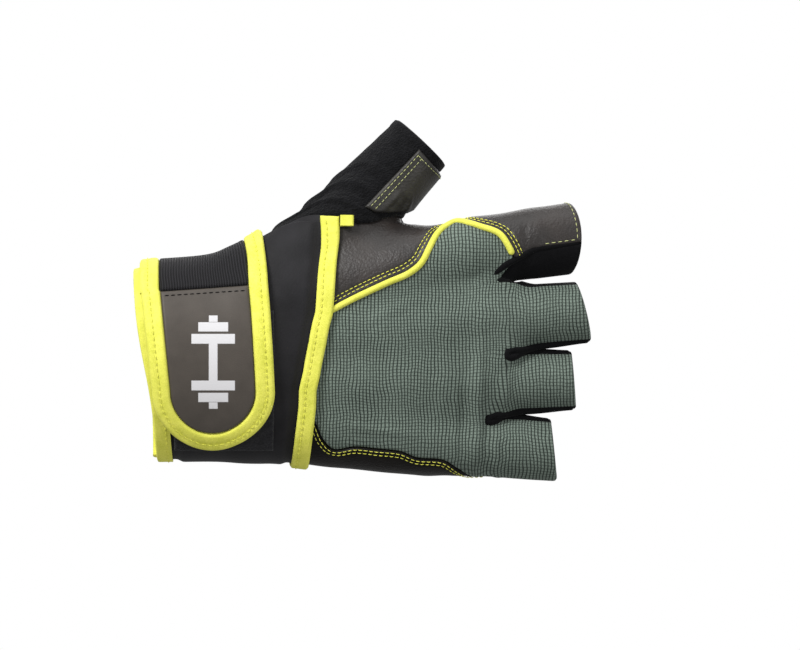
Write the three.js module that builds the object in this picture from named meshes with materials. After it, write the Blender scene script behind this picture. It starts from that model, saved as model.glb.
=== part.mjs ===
// Weightlifting glove for a right hand, in the form it has when worn.
// Millimetres, +Z up: the fingers point to +X, the thumb side is +Z and the back of the hand faces -Y.
// The origin is the middle of the wrist opening.
import * as THREE from 'three';

// Driving dimensions
const LENGTH = 160; // from the wrist opening to the middle finger's opening
const BREADTH = 100; // across the knuckles
const DEPTH = 30; // from the back of the hand to the palm
const THUMB_REACH = 50; // from the thumb's root to its opening
const BACK_WALL = 1.5; // stretch fabric of the back
const LEATHER_WALL = 1.5; // leather over the index finger
const PALM_WALL = 2; // padded leather of the palm
const WEB_WALL = 1.2; // fabric between the fingers
const SLEEVE_WALL = 2; // terry of the thumb
const PATCH_WALL = 1.2; // leather on the thumb
const CUFF_WALL = 3; // padded wrist
const SEWN_WALL = 2; // the cuff where it is pressed flat by a seam
const LOOP_WALL = 1; // loop side of the hook and loop fastening
const STRAP_WALL = 1.6; // elastic and its tab
const BINDING_WALL = 2; // folded tape round the strap
const TAPE_WALL = 1.4; // folded tape over the wrist seam
const EDGE_WALL = 0.7; // one leg of the tape on the wrist opening
const EDGE_LEG = 5; // how far that tape reaches over the cuff
const TAPE_WIDTH = 6.6;
const PIPING_RADIUS = 1.2;
const LOOSE_END = 5; // free end of the tape over the wrist seam
const GAP = 0.3; // between neighbouring pieces
const STRAP_GAP = 0.8; // between the cuff and the strap that lies round it
const TAPE_GAP = 0.5; // between a piece and a tape or patch sewn over it

// The thumb points this way from its root, as a vector of length 1
const THUMB_LEAN = { along: 0.685, out: 0.06, up: 0.726 };

// Bones of the hand form. Each row is a station, in shares: along of LENGTH, out and deep of DEPTH, up and
// wide of BREADTH. The thumb's last stations are given by their reach from its root, of THUMB_REACH.
const BONES = {
  forearm: [
    { along: -0.09, out: 0, up: -0.02, wide: 0.31, deep: 0.68 },
    { along: 0.025, out: 0, up: 0.005, wide: 0.336, deep: 0.715 },
    { along: 0.19, out: 0, up: 0.015, wide: 0.343, deep: 0.715 },
  ],
  little: [
    { along: 0.275, out: -0.03, up: -0.17, wide: 0.135, deep: 0.43 },
    { along: 0.74, out: -0.07, up: -0.29, wide: 0.108, deep: 0.37 },
    { along: 0.95, out: 0, up: -0.318, wide: 0.1, deep: 0.33 },
  ],
  ring: [
    { along: 0.275, out: -0.1, up: -0.05, wide: 0.135, deep: 0.43 },
    { along: 0.755, out: -0.13, up: -0.064, wide: 0.106, deep: 0.38 },
    { along: 0.99, out: -0.03, up: -0.056, wide: 0.094, deep: 0.32 },
  ],
  middle: [
    { along: 0.275, out: -0.1, up: 0.08, wide: 0.135, deep: 0.43 },
    { along: 0.77, out: -0.165, up: 0.17, wide: 0.108, deep: 0.385 },
    { along: 1.02, out: -0.065, up: 0.199, wide: 0.1, deep: 0.34 },
  ],
  index: [
    { along: 0.275, out: -0.065, up: 0.2, wide: 0.135, deep: 0.415 },
    { along: 0.755, out: -0.13, up: 0.42, wide: 0.115, deep: 0.375 },
    { along: 1, out: -0.03, up: 0.474, wide: 0.12, deep: 0.365 },
  ],
  thumb: [
    { along: 0.26, out: 0.065, up: 0.28, wide: 0.13, deep: 0.415 },
    { along: 0.413, out: 0.165, up: 0.465, wide: 0.132, deep: 0.415 },
    { reach: 0.52, wide: 0.118, deep: 0.375 },
    { reach: 1.02, wide: 0.104, deep: 0.335 },
  ],
  thumb_ball: [
    { along: 0.36, out: 0.3, up: 0.22, wide: 0.12, deep: 0.4 },
    { along: 0.525, out: 0.365, up: 0.38, wide: 0.105, deep: 0.35 },
  ],
  palm_heel: [
    { along: 0.35, out: 0.2, up: -0.18, wide: 0.125, deep: 0.4 },
    { along: 0.64, out: 0.165, up: -0.27, wide: 0.105, deep: 0.335 },
  ],
  thumb_web: [
    { along: 0.49, out: 0.08, up: 0.41, wide: 0.07, deep: 0.235 },
    { along: 0.61, out: 0.05, up: 0.44, wide: 0.045, deep: 0.2 },
  ],
  hand: [
    { along: 0.41, out: -0.035, up: 0.03, wide: 0.34, deep: 0.415 },
    { along: 0.675, out: -0.115, up: 0.06, wide: 0.36, deep: 0.4 },
    { along: 0.86, out: -0.135, up: 0.05, wide: 0.34, deep: 0.35 },
  ],
};
// How softly the bones melt together, as a share of BREADTH, at the wrist and at the knuckles
const MELT = { wrist: 0.036, knuckles: 0.016, from: 0.55, to: 0.78 };
// Where the hand ends between the fingers: up is a share of BREADTH, along of LENGTH
const KNUCKLE_EDGE = [
  { up: -0.45, along: 0.765 },
  { up: -0.2, along: 0.79 },
  { up: 0.04, along: 0.835 },
  { up: 0.3, along: 0.825 },
  { up: 0.6, along: 0.81 },
];

const radians = THREE.MathUtils.degToRad;
const mix = THREE.MathUtils.lerp;
const at = (x, y, z) => new THREE.Vector3(x, y, z);
const last = (points) => points[points.length - 1];

// Finds a value of a table whose rows are sorted by one column
function lookUp(rows, key, value, wanted) {
  const next = rows.findIndex((row) => row[key] >= value);
  if (next === 0) {
    return rows[0][wanted];
  }
  if (next < 0) {
    return rows[rows.length - 1][wanted];
  }
  const [low, high] = [rows[next - 1], rows[next]];
  return mix(low[wanted], high[wanted], (value - low[key]) / (high[key] - low[key]));
}

function station({ along, out, up, reach = 0, wide, deep }) {
  const from = reach ? BONES.thumb[1] : { along, out, up };
  return {
    x: from.along * LENGTH + reach * THUMB_REACH * THUMB_LEAN.along,
    y: from.out * DEPTH + reach * THUMB_REACH * THUMB_LEAN.out,
    z: from.up * BREADTH + reach * THUMB_REACH * THUMB_LEAN.up,
    wide: wide * BREADTH,
    deep: deep * DEPTH,
  };
}
const stations = Object.fromEntries(
  Object.entries(BONES).map(([bone, rows]) => [bone, rows.map(station)]),
);

// How far a point lies outside one bone, measured in the bone's wide direction
function outsideBone(bone, p) {
  let nearest = Infinity;
  const rows = stations[bone];
  for (let i = 1; i < rows.length; i++) {
    const [a, b] = [rows[i - 1], rows[i]];
    const [dx, dy, dz] = [b.x - a.x, b.y - a.y, b.z - a.z];
    const share = ((p.x - a.x) * dx + (p.y - a.y) * dy + (p.z - a.z) * dz) / (dx * dx + dy * dy + dz * dz);
    const t = THREE.MathUtils.clamp(share, 0, 1);
    const wide = mix(a.wide, b.wide, t);
    const stretch = wide / mix(a.deep, b.deep, t);
    const away = Math.hypot(p.x - a.x - t * dx, (p.y - a.y - t * dy) * stretch, p.z - a.z - t * dz);
    nearest = Math.min(nearest, away - wide);
  }
  if (bone === 'hand') {
    return Math.max(nearest, p.x - LENGTH * lookUp(KNUCKLE_EDGE, 'up', p.z / BREADTH, 'along'));
  }
  return nearest;
}

// The hand form: negative inside, zero on the skin. A named bone is taken alone.
const DEEPEST = -20; // in melts; a point deeper than this in a bone counts as this deep
function outside(p, bone) {
  if (bone) {
    return outsideBone(bone, p);
  }
  const blend = THREE.MathUtils.smoothstep(p.x / LENGTH, MELT.from, MELT.to);
  const soft = BREADTH * mix(MELT.wrist, MELT.knuckles, blend);
  let total = 0;
  for (const name of Object.keys(BONES)) {
    total += Math.exp(-Math.max(outsideBone(name, p) / soft, DEEPEST));
  }
  return -soft * Math.log(total + Number.MIN_VALUE);
}

const TINY = 0.02;
function slope(p, bone) {
  const along = (x, y, z) => (
    outside(at(p.x + x, p.y + y, p.z + z), bone) - outside(at(p.x - x, p.y - y, p.z - z), bone)
  );
  return at(along(TINY, 0, 0), along(0, TINY, 0), along(0, 0, TINY)).divideScalar(2 * TINY);
}

// A point of the skin with the direction that faces out of it there, and the seams that it lies on
const skin = (p, bone) => ({ p, n: slope(p, bone).normalize(), seams: [] });

// Follows a ray to the place where it crosses the skin
const STRIDE = 0.02 * BREADTH;
const HALVINGS = 20;
function cast(from, direction, bone) {
  const inside = outside(from, bone) < 0;
  const probe = (reach) => from.clone().addScaledVector(direction, reach);
  let far = STRIDE;
  while ((outside(probe(far), bone) < 0) === inside && far < 2 * LENGTH) {
    far += STRIDE;
  }
  let near = far - STRIDE;
  for (let i = 0; i < HALVINGS; i++) {
    const middle = (near + far) / 2;
    if ((outside(probe(middle), bone) < 0) === inside) {
      near = middle;
    } else {
      far = middle;
    }
  }
  return skin(probe(far), bone);
}

// Slides a point that is near the skin onto it
const SLIDES = 8;
function settle(p, bone = null) {
  const q = p.clone();
  for (let i = 0; i < SLIDES; i++) {
    const g = slope(q, bone);
    q.addScaledVector(g, -outside(q, bone) / g.lengthSq());
  }
  return skin(q, bone);
}

function centreOf(bone, x) {
  return at(x, lookUp(stations[bone], 'x', x, 'y'), lookUp(stations[bone], 'x', x, 'z'));
}

// A turn about a bone is 0 at the back of the hand and grows towards the thumb side
function turnOf(bone, p, hint) {
  const c = centreOf(bone, p.x);
  const turn = THREE.MathUtils.radToDeg(Math.atan2(p.z - c.z, c.y - p.y));
  return hint + THREE.MathUtils.euclideanModulo(turn - hint + 180, 360) - 180;
}

function around(bone, x, turn, own = null) {
  const direction = at(0, -Math.cos(radians(turn)), Math.sin(radians(turn)));
  return cast(centreOf(bone, x), direction, own);
}

// A point of the back (side -1) or of the palm (side 1), seen straight on
const facing = (x, z, side) => cast(at(x, side * 2 * DEPTH, z), at(0, -side, 0), null);

const mark = (points, seam) => {
  points.forEach((point) => point.seams.push(seam));
  return points;
};

// Points between two points of the skin, turning evenly about a bone
function between(left, right, cells, bone, hint, own = null) {
  const turns = [turnOf(bone, left.p, hint), turnOf(bone, right.p, hint)];
  const row = [left];
  for (let i = 1; i < cells; i++) {
    row.push(around(bone, mix(left.p.x, right.p.x, i / cells), mix(...turns, i / cells), own));
  }
  return [...row, right];
}

// Sheets of the skin, made of rows of points, and walls made from them
const SHARPEST = 0.98; // cosine between the pulls on two edges that count as one straight edge
class Sheet {
  constructor() {
    this.points = [];
    this.numbers = new Map();
    this.faces = [];
  }

  number(point) {
    if (!this.numbers.has(point)) {
      this.numbers.set(point, this.points.length);
      this.points.push({ ...point, p: point.p.clone() });
    }
    return this.numbers.get(point);
  }

  add(rows) {
    const faces = [];
    let lean = 0;
    for (let i = 1; i < rows.length; i++) {
      for (let j = 1; j < rows[i].length; j++) {
        const corners = [rows[i - 1][j - 1], rows[i - 1][j], rows[i][j], rows[i][j - 1]];
        const across = corners[2].p.clone().sub(corners[0].p).cross(corners[3].p.clone().sub(corners[1].p));
        lean += across.dot(corners[0].n);
        faces.push(corners.map((corner) => this.number(corner)));
      }
    }
    this.faces.push(...faces.map((face) => (lean > 0 ? face : face.reverse())));
    return this;
  }

  // Edges that only one face has, each running with its face
  rim() {
    const edges = new Map();
    for (const face of this.faces) {
      face.forEach((a, i) => edges.set(`${a} ${face[(i + 1) % 4]}`, [a, face[(i + 1) % 4]]));
    }
    return [...edges.values()].filter(([a, b]) => !edges.has(`${b} ${a}`));
  }

  // Draws the rim back from each seam, to leave room for the neighbour or the cord that lies there
  trim() {
    const pulls = this.points.map(() => []);
    for (const [a, b] of this.rim()) {
      const [start, end] = [this.points[a], this.points[b]];
      const shared = start.seams.filter((seam) => end.seams.includes(seam));
      const room = Math.max(0, ...shared.map((seam) => (seam === 'piping' ? PIPING_RADIUS + GAP : GAP / 2)));
      const inward = start.n.clone().add(end.n).cross(end.p.clone().sub(start.p)).normalize();
      pulls[a].push({ inward, room });
      pulls[b].push({ inward, room });
    }
    const moves = pulls.map((pair) => {
      if (pair.length < 2) {
        return at(0, 0, 0);
      }
      const [one, two] = pair;
      const c = Math.min(one.inward.dot(two.inward), SHARPEST);
      const square = 1 - c * c;
      return one.inward.clone().multiplyScalar((one.room - c * two.room) / square)
        .addScaledVector(two.inward, (two.room - c * one.room) / square);
    });
    this.points.forEach((point, i) => point.p.add(moves[i]));
    return this;
  }

  // A closed wall between two heights over the skin, which a point may state for itself
  wall(over = 0, under = 0) {
    const count = this.points.length;
    const raise = (point, height) => point.p.clone().addScaledVector(point.n, height).toArray();
    const outer = this.points.map((point) => raise(point, point.over ?? over));
    const inner = this.points.map((point) => raise(point, point.under ?? under));
    const corners = [];
    for (const [a, b, c, d] of this.faces) {
      corners.push(a, b, c, a, c, d);
      corners.push(count + a, count + c, count + b, count + a, count + d, count + c);
    }
    for (const [a, b] of this.rim()) {
      // Two sheets that share a seam split its faces along the same diagonal
      if (this.points[a].p.x < this.points[b].p.x) {
        corners.push(b, a, count + b, a, count + a, count + b);
      } else {
        corners.push(b, a, count + a, b, count + a, count + b);
      }
    }
    return solid([...outer, ...inner], corners);
  }
}

function solid(places, corners) {
  const geometry = new THREE.BufferGeometry();
  geometry.setAttribute('position', new THREE.Float32BufferAttribute(places.flat(), 3));
  geometry.setIndex(corners);
  const faceted = geometry.toNonIndexed();
  faceted.computeVertexNormals();
  return faceted;
}

// Joins like outlines, one after another, into a bar with flat ends or, when closed, a ring
function loft(outlines, closed) {
  const sides = outlines[0].length;
  const corners = [];
  const count = outlines.length;
  for (let i = 0; i < (closed ? count : count - 1); i++) {
    for (let j = 0; j < sides; j++) {
      const [a, b] = [i * sides + j, i * sides + ((j + 1) % sides)];
      const [c, d] = [((i + 1) % count) * sides + ((j + 1) % sides), ((i + 1) % count) * sides + j];
      corners.push(a, b, c, a, c, d);
    }
  }
  if (!closed) {
    const last = (count - 1) * sides;
    for (let j = 2; j < sides; j++) {
      corners.push(0, j, j - 1, last, last + j - 1, last + j);
    }
  }
  return solid(outlines.flat().map((place) => place.toArray()), corners);
}

// Samples a line of the pattern, whose rows give along and up, and finds it on the back or on the palm
function drawn(rows, cells, side) {
  const places = rows.map(([along, up]) => at(along * LENGTH, 0, up * BREADTH));
  const curve = new THREE.CatmullRomCurve3(places, false, 'centripetal');
  return curve.getSpacedPoints(cells).map((place) => facing(place.x, place.z, side));
}

// Samples a line whose rows give along and a turn about a bone of about this radius
const TURNED_RADIUS = 0.12 * BREADTH;
function turned(rows, cells, bone) {
  const places = rows.map(([along, turn]) => at(along * LENGTH, radians(turn) * TURNED_RADIUS, 0));
  const curve = new THREE.CatmullRomCurve3(places, false, 'centripetal');
  return curve.getSpacedPoints(cells).map((place) => (
    around(bone, place.x, THREE.MathUtils.radToDeg(place.y / TURNED_RADIUS))
  ));
}

// The thumb is measured along its own axis, and round it from its back towards the index finger
const thumbRoot = at(stations.thumb[1].x, stations.thumb[1].y, stations.thumb[1].z);
const thumbTip = at(stations.thumb[3].x, stations.thumb[3].y, stations.thumb[3].z);
const thumbAxis = thumbTip.clone().sub(thumbRoot).normalize();
const thumbInner = at(thumbAxis.z, 0, -thumbAxis.x).normalize();
const thumbBack = thumbInner.clone().cross(thumbAxis);

function onThumb(share, turn) {
  const from = thumbRoot.clone().addScaledVector(thumbAxis, share * THUMB_REACH);
  const direction = thumbBack.clone().multiplyScalar(Math.cos(radians(turn)))
    .addScaledVector(thumbInner, Math.sin(radians(turn)));
  return { ...cast(from, direction, null), share, turn };
}

// The seam round the thumb's root: reach is a share of BREADTH, because it belongs to the hand
const THUMB_SEAM = [
  { turn: -90, reach: -0.205 },
  { turn: -70, reach: -0.095 },
  { turn: -57, reach: -0.015 },
  { turn: -23, reach: 0.058 },
  { turn: 14, reach: 0.105 },
  { turn: 33, reach: 0.15 },
  { turn: 48, reach: 0.2 },
  { turn: 62, reach: 0.2275 },
  { turn: 78, reach: 0.2375 },
  { turn: 92, reach: 0.2375 },
  { turn: 112, reach: 0.22 },
  { turn: 134, reach: 0.17 },
  { turn: 180, reach: 0.01 },
  { turn: 225, reach: -0.1 },
  { turn: 270, reach: -0.205 },
];
function thumbSeam(from, to, cells) {
  const points = [];
  for (let i = 0; i <= cells; i++) {
    const turn = mix(from, to, i / cells);
    const once = turn > last(THUMB_SEAM).turn ? turn - 360 : turn;
    const reach = BREADTH * lookUp(THUMB_SEAM, 'turn', once, 'reach');
    points.push(onThumb(reach / THUMB_REACH, turn));
  }
  return mark(points, 'thumb');
}

// Numbers of cells along and across the pattern pieces
const SEAM_CELLS = 6; // along the thumb's seam, on the back and on the palm
const SIDE_CELLS = 6; // along the seam on the thumb side of the index finger
const HAND_CELLS = SEAM_CELLS + SIDE_CELLS; // from the wrist seam to the knuckles
const FINGER_STEPS = [0.1, 0.28, 0.5, 0.75, 1]; // rows from the knuckles to an opening, as shares
const FRONT_SEAM_TURN = -23; // where the wrist seam meets the thumb's seam, on the back
const WEB_TURN = 92; // the crotch between the thumb and the index finger
const PALM_SEAM_TURN = 218; // where the wrist seam meets the thumb's seam, on the palm

const thumbSeamBack = thumbSeam(FRONT_SEAM_TURN, WEB_TURN, SEAM_CELLS);
const thumbSeamPalm = thumbSeam(PALM_SEAM_TURN, WEB_TURN, SEAM_CELLS);
const thumbSeamCuff = thumbSeam(PALM_SEAM_TURN, 360 + FRONT_SEAM_TURN, 2 * SEAM_CELLS - 2);
thumbSeamPalm[SEAM_CELLS] = thumbSeamBack[SEAM_CELLS];
thumbSeamCuff[0] = thumbSeamPalm[0];
thumbSeamCuff[thumbSeamCuff.length - 1] = thumbSeamBack[0];

// Lines of the pattern, by hand, each row along and up in shares of LENGTH and BREADTH
const LINES = {
  piping: [[0.402, 0.185], [0.472, 0.246], [0.547, 0.303], [0.598, 0.339], [0.627, 0.375], [0.648, 0.431],
    [0.668, 0.479], [0.698, 0.511], [0.717, 0.519], [0.763, 0.503], [0.808, 0.479], [0.828, 0.439],
    [0.843, 0.391]],
  back_index_web: [[0.386, 0.08], [0.5, 0.14], [0.63, 0.21], [0.72, 0.26], [0.81, 0.31]],
  back_middle_low: [[0.374, -0.01], [0.55, 0.02], [0.7, 0.045], [0.824, 0.054]],
  back_ring_high: [[0.372, -0.03], [0.55, -0.005], [0.7, 0.017], [0.823, 0.024]],
  back_ring_low: [[0.366, -0.07], [0.55, -0.12], [0.68, -0.165], [0.778, -0.187]],
  back_little_high: [[0.363, -0.09], [0.55, -0.145], [0.68, -0.195], [0.777, -0.217]],
  palm_index_low: [[0.345, 0.2], [0.5, 0.25], [0.66, 0.31], [0.8, 0.335]],
  palm_middle_high: [[0.343, 0.16], [0.5, 0.2], [0.66, 0.25], [0.8, 0.28]],
  palm_middle_low: [[0.335, 0.03], [0.5, 0.045], [0.66, 0.06], [0.81, 0.06]],
  palm_ring_high: [[0.334, 0.01], [0.5, 0.02], [0.66, 0.032], [0.81, 0.03]],
  palm_ring_low: [[0.331, -0.09], [0.5, -0.13], [0.66, -0.168], [0.775, -0.183]],
  palm_little_high: [[0.33, -0.11], [0.5, -0.155], [0.66, -0.197], [0.774, -0.213]],
};
// The seam between the back and the palm leather: along, and the turn about the little finger's bone
const LEATHER_SEAM = [[0.362, 14], [0.383, -7], [0.401, -32], [0.424, -46], [0.474, -36], [0.525, -34],
  [0.58, -33], [0.616, -41], [0.681, -40], [0.717, -63], [0.741, -88], [0.778, -104]];

const line = (name, side) => drawn(LINES[name], HAND_CELLS, side);
const piping = mark(line('piping', -1), 'piping');
const backIndexWeb = line('back_index_web', -1);
const backMiddleLow = line('back_middle_low', -1);
const backRingHigh = line('back_ring_high', -1);
const backRingLow = line('back_ring_low', -1);
const backLittleHigh = line('back_little_high', -1);
const leatherSeam = mark(turned(LEATHER_SEAM, HAND_CELLS, 'little'), 'leather');
const palmIndexLow = line('palm_index_low', 1);
const palmMiddleHigh = line('palm_middle_high', 1);
const palmMiddleLow = line('palm_middle_low', 1);
const palmRingHigh = line('palm_ring_high', 1);
const palmRingLow = line('palm_ring_low', 1);
const palmLittleHigh = line('palm_little_high', 1);

// The seam on the thumb side of the index finger, from the thumb's web to the knuckle
const SIDE_TURN = 104;
const SIDE_END = 0.838; // along, as a share of LENGTH
const sideSeam = [thumbSeamBack[SEAM_CELLS]];
for (let i = 1; i <= SIDE_CELLS; i++) {
  const web = sideSeam[0];
  const x = mix(web.p.x, SIDE_END * LENGTH, i / SIDE_CELLS);
  const turn = mix(turnOf('index', web.p, SIDE_TURN), SIDE_TURN, Math.min(1, 2 * i / SIDE_CELLS));
  sideSeam.push(around('index', x, turn));
}
mark(sideSeam, 'side');
const indexEdge = [...thumbSeamBack, ...sideSeam.slice(1)];
const palmEdge = [...thumbSeamPalm, ...sideSeam.slice(1)];

// The fingers: opening, swell and slant are shares of LENGTH, and the turns say where the walls of a
// finger join: back_high to back_low is the back, palm_high to palm_low the palm.
const FINGERS = {
  index: {
    opening: 0.972, swell: 0.026, slant: 0, back_high: 104, back_low: -10, palm_high: 104, palm_low: 240,
  },
  middle: {
    opening: 1.003, swell: 0.006, slant: -0.016, back_high: 68, back_low: -68, palm_high: 120, palm_low: 240,
  },
  ring: {
    opening: 0.981, swell: 0, slant: -0.005, back_high: 68, back_low: -68, palm_high: 120, palm_low: 240,
  },
  little: {
    opening: 0.935, swell: 0, slant: -0.007, back_high: 67, back_low: -104, palm_high: -238, palm_low: -104,
  },
};

function openingOf(finger, turn) {
  const { opening, swell, slant } = FINGERS[finger];
  return LENGTH * (opening + swell * Math.cos(radians(turn)) + slant * Math.sin(radians(turn)));
}

// The edge of a finger's wall, from its place at the knuckles to the opening
function lip(finger, start, turn, seam) {
  mark([start], seam);
  const end = openingOf(finger, turn);
  return mark(FINGER_STEPS.map((step) => around(finger, mix(start.p.x, end, step), turn, finger)), seam);
}

const lips = {
  index_side: lip('index', last(sideSeam), FINGERS.index.back_high, 'side'),
  index_back: lip('index', last(piping), FINGERS.index.back_low, 'web'),
  index_palm: lip('index', last(palmIndexLow), FINGERS.index.palm_low, 'web'),
  middle_back_high: lip('middle', last(backIndexWeb), FINGERS.middle.back_high, 'web'),
  middle_back_low: lip('middle', last(backMiddleLow), FINGERS.middle.back_low, 'web'),
  middle_palm_high: lip('middle', last(palmMiddleHigh), FINGERS.middle.palm_high, 'web'),
  middle_palm_low: lip('middle', last(palmMiddleLow), FINGERS.middle.palm_low, 'web'),
  ring_back_high: lip('ring', last(backRingHigh), FINGERS.ring.back_high, 'web'),
  ring_back_low: lip('ring', last(backRingLow), FINGERS.ring.back_low, 'web'),
  ring_palm_high: lip('ring', last(palmRingHigh), FINGERS.ring.palm_high, 'web'),
  ring_palm_low: lip('ring', last(palmRingLow), FINGERS.ring.palm_low, 'web'),
  little_back_high: lip('little', last(backLittleHigh), FINGERS.little.back_high, 'web'),
  little_palm_high: lip('little', last(palmLittleHigh), FINGERS.little.palm_high, 'web'),
  little_side: lip('little', last(leatherSeam), FINGERS.little.back_low, 'leather'),
};

// One strip of a hand panel, between two lines of the pattern
const strip = (left, right, cells, bone, hint) => (
  left.map((point, i) => between(point, right[i], cells, bone, hint))
);

// The same strip from the knuckles to the finger's opening
function fingerStrip(base, left, right, finger, hint) {
  const cells = base.length - 1;
  const rows = FINGER_STEPS.map((step, k) => {
    const turns = [turnOf(finger, left[k].p, hint), turnOf(finger, right[k].p, hint)];
    const inner = base.slice(1, cells).map((point, i) => {
      const turn = mix(...turns, (i + 1) / cells);
      return around(finger, mix(point.p.x, openingOf(finger, turn), step), turn, finger);
    });
    return [left[k], ...inner, right[k]];
  });
  return [base, ...rows];
}

// Cells across each strip
const CELLS = {
  web: 3, finger: 5, palm_finger: 4, crotch: 2, little: 7, palm_little: 8, index: 5, palm_index: 5, wall: 4,
};

function backPanel() {
  const web = strip(piping, backIndexWeb, CELLS.web, 'index', 0);
  const middle = strip(backIndexWeb, backMiddleLow, CELLS.finger, 'middle', 0);
  const crotchMiddle = strip(backMiddleLow, backRingHigh, CELLS.crotch, 'ring', 0);
  const ring = strip(backRingHigh, backRingLow, CELLS.finger, 'ring', 0);
  const crotchRing = strip(backRingLow, backLittleHigh, CELLS.crotch, 'ring', 0);
  const little = strip(backLittleHigh, leatherSeam, CELLS.little, 'little', 0);
  const fingers = [
    fingerStrip(last(middle), lips.middle_back_high, lips.middle_back_low, 'middle', 0),
    fingerStrip(last(ring), lips.ring_back_high, lips.ring_back_low, 'ring', 0),
    fingerStrip(last(little), lips.little_back_high, lips.little_side, 'little', 0),
  ];
  mark(last(web), 'web');
  mark(last(crotchMiddle), 'web');
  mark(last(crotchRing), 'web');
  return { strips: [web, middle, crotchMiddle, ring, crotchRing, little], fingers };
}

function indexPanel() {
  const hand = strip(indexEdge, piping, CELLS.index, 'index', 0);
  const finger = fingerStrip(last(hand), lips.index_side, lips.index_back, 'index', 0);
  return { strips: [hand], fingers: [finger] };
}

function palmPanel() {
  const index = strip(palmEdge, palmIndexLow, CELLS.palm_index, 'index', 180);
  const web = strip(palmIndexLow, palmMiddleHigh, CELLS.web, 'index', 180);
  const middle = strip(palmMiddleHigh, palmMiddleLow, CELLS.palm_finger, 'middle', 180);
  const crotchMiddle = strip(palmMiddleLow, palmRingHigh, CELLS.crotch, 'ring', 180);
  const ring = strip(palmRingHigh, palmRingLow, CELLS.palm_finger, 'ring', 180);
  const crotchRing = strip(palmRingLow, palmLittleHigh, CELLS.crotch, 'ring', 180);
  const little = strip(palmLittleHigh, leatherSeam, CELLS.palm_little, 'little', -100);
  const fingers = [
    fingerStrip(last(index), lips.index_side, lips.index_palm, 'index', 180),
    fingerStrip(last(middle), lips.middle_palm_high, lips.middle_palm_low, 'middle', 180),
    fingerStrip(last(ring), lips.ring_palm_high, lips.ring_palm_low, 'ring', 180),
    fingerStrip(last(little), lips.little_palm_high, lips.little_side, 'little', -180),
  ];
  mark(last(web), 'web');
  mark(last(crotchMiddle), 'web');
  mark(last(crotchRing), 'web');
  return { strips: [index, web, middle, crotchMiddle, ring, crotchRing, little], fingers };
}

const back = backPanel();
const index = indexPanel();
const palm = palmPanel();

// The wrist seam runs down the back from the thumb, under the little finger side and up the palm
const backWrist = [index.strips[0][0], ...back.strips.map((rows) => rows[0])];
const palmWrist = palm.strips.map((rows) => rows[0]).reverse();
const chain = (rows) => rows.flatMap((row, i) => (i ? row.slice(1) : row));
const wristSeam = mark(chain([...backWrist, ...palmWrist.map((row) => [...row].reverse())]), 'wrist');

function panel({ strips, fingers }, thickness) {
  const sheet = new Sheet();
  [...strips, ...fingers].forEach((rows) => sheet.add(rows));
  return sheet.trim().wall(thickness);
}

// The fabric between two fingers: along one finger, round the crotch, whose two edges the back and the
// palm share, and along the other finger
const CROTCH_AHEAD = 0.01; // how far the crotch stands ahead of its edges, as a share of LENGTH
function fourchette(upper, lower, edges) {
  const count = CELLS.wall;
  const gapAt = (upper.back[0].p.z + upper.palm[0].p.z + lower.back[0].p.z + lower.palm[0].p.z) / 4;
  const crotch = edges.back.map((start, i) => {
    const end = edges.palm[i];
    const spread = (0.5 - i / (edges.back.length - 1)) * (upper.back[0].p.z - lower.back[0].p.z) / 2;
    const depth = centreOf(upper.finger, start.p.x).y;
    const ahead = Math.max(start.p.x, end.p.x) + CROTCH_AHEAD * LENGTH;
    const middle = settle(at(ahead, depth, gapAt + spread));
    const row = [start];
    for (let v = 1; v < count; v++) {
      const share = 2 * v / count;
      const place = share < 1
        ? start.p.clone().lerp(middle.p, share)
        : middle.p.clone().lerp(end.p, share - 1);
      row.push(settle(place));
    }
    return [...row, end];
  });
  const side = (walls, base, hint) => FINGER_STEPS.map((step, k) => {
    const turns = [turnOf(walls.finger, walls.back[k].p, hint), turnOf(walls.finger, walls.palm[k].p, hint)];
    const inner = base.slice(1, count).map((point, i) => {
      const turn = mix(...turns, (i + 1) / count);
      return around(walls.finger, mix(point.p.x, openingOf(walls.finger, turn), step), turn, walls.finger);
    });
    return [walls.back[k], ...inner, walls.palm[k]];
  });
  const rows = [
    ...side(upper, crotch[0], -90).reverse(),
    ...crotch,
    ...side(lower, last(crotch), 90),
  ];
  return new Sheet().add(rows).trim().wall(WEB_WALL);
}

// The thumb's sleeve, from its seam to its opening
const SLEEVE_STEPS = 6;
function thumbSleeve() {
  const seam = chain([thumbSeamBack, [...thumbSeamPalm].reverse(), thumbSeamCuff]);
  const rows = [];
  for (let k = 0; k <= SLEEVE_STEPS; k++) {
    const row = seam.slice(0, -1).map((point) => (
      k ? onThumb(mix(point.share, 1, k / SLEEVE_STEPS), point.turn) : point
    ));
    rows.push([...row, row[0]]);
  }
  return new Sheet().add(rows).trim().wall(SLEEVE_WALL);
}

// The leather patch on the thumb: low and high are shares of THUMB_REACH
const PATCH = [
  { turn: 6, low: 0.38, high: 0.93 },
  { turn: 24, low: 0.4, high: 0.925 },
  { turn: 45, low: 0.48, high: 0.92 },
  { turn: 68, low: 0.55, high: 0.92 },
  { turn: 92, low: 0.58, high: 0.92 },
  { turn: 116, low: 0.53, high: 0.92 },
  { turn: 140, low: 0.42, high: 0.92 },
];
const PATCH_CELLS = { round: 8, along: 5 };
function thumbPatch() {
  const rows = [];
  for (let i = 0; i <= PATCH_CELLS.round; i++) {
    const turn = mix(PATCH[0].turn, last(PATCH).turn, i / PATCH_CELLS.round);
    const low = lookUp(PATCH, 'turn', turn, 'low');
    const high = lookUp(PATCH, 'turn', turn, 'high');
    rows.push([]);
    for (let j = 0; j <= PATCH_CELLS.along; j++) {
      rows[i].push(onThumb(mix(low, high, j / PATCH_CELLS.along), turn));
    }
  }
  const seat = SLEEVE_WALL + TAPE_GAP;
  return new Sheet().add(rows).wall(seat + PATCH_WALL, seat);
}

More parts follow.
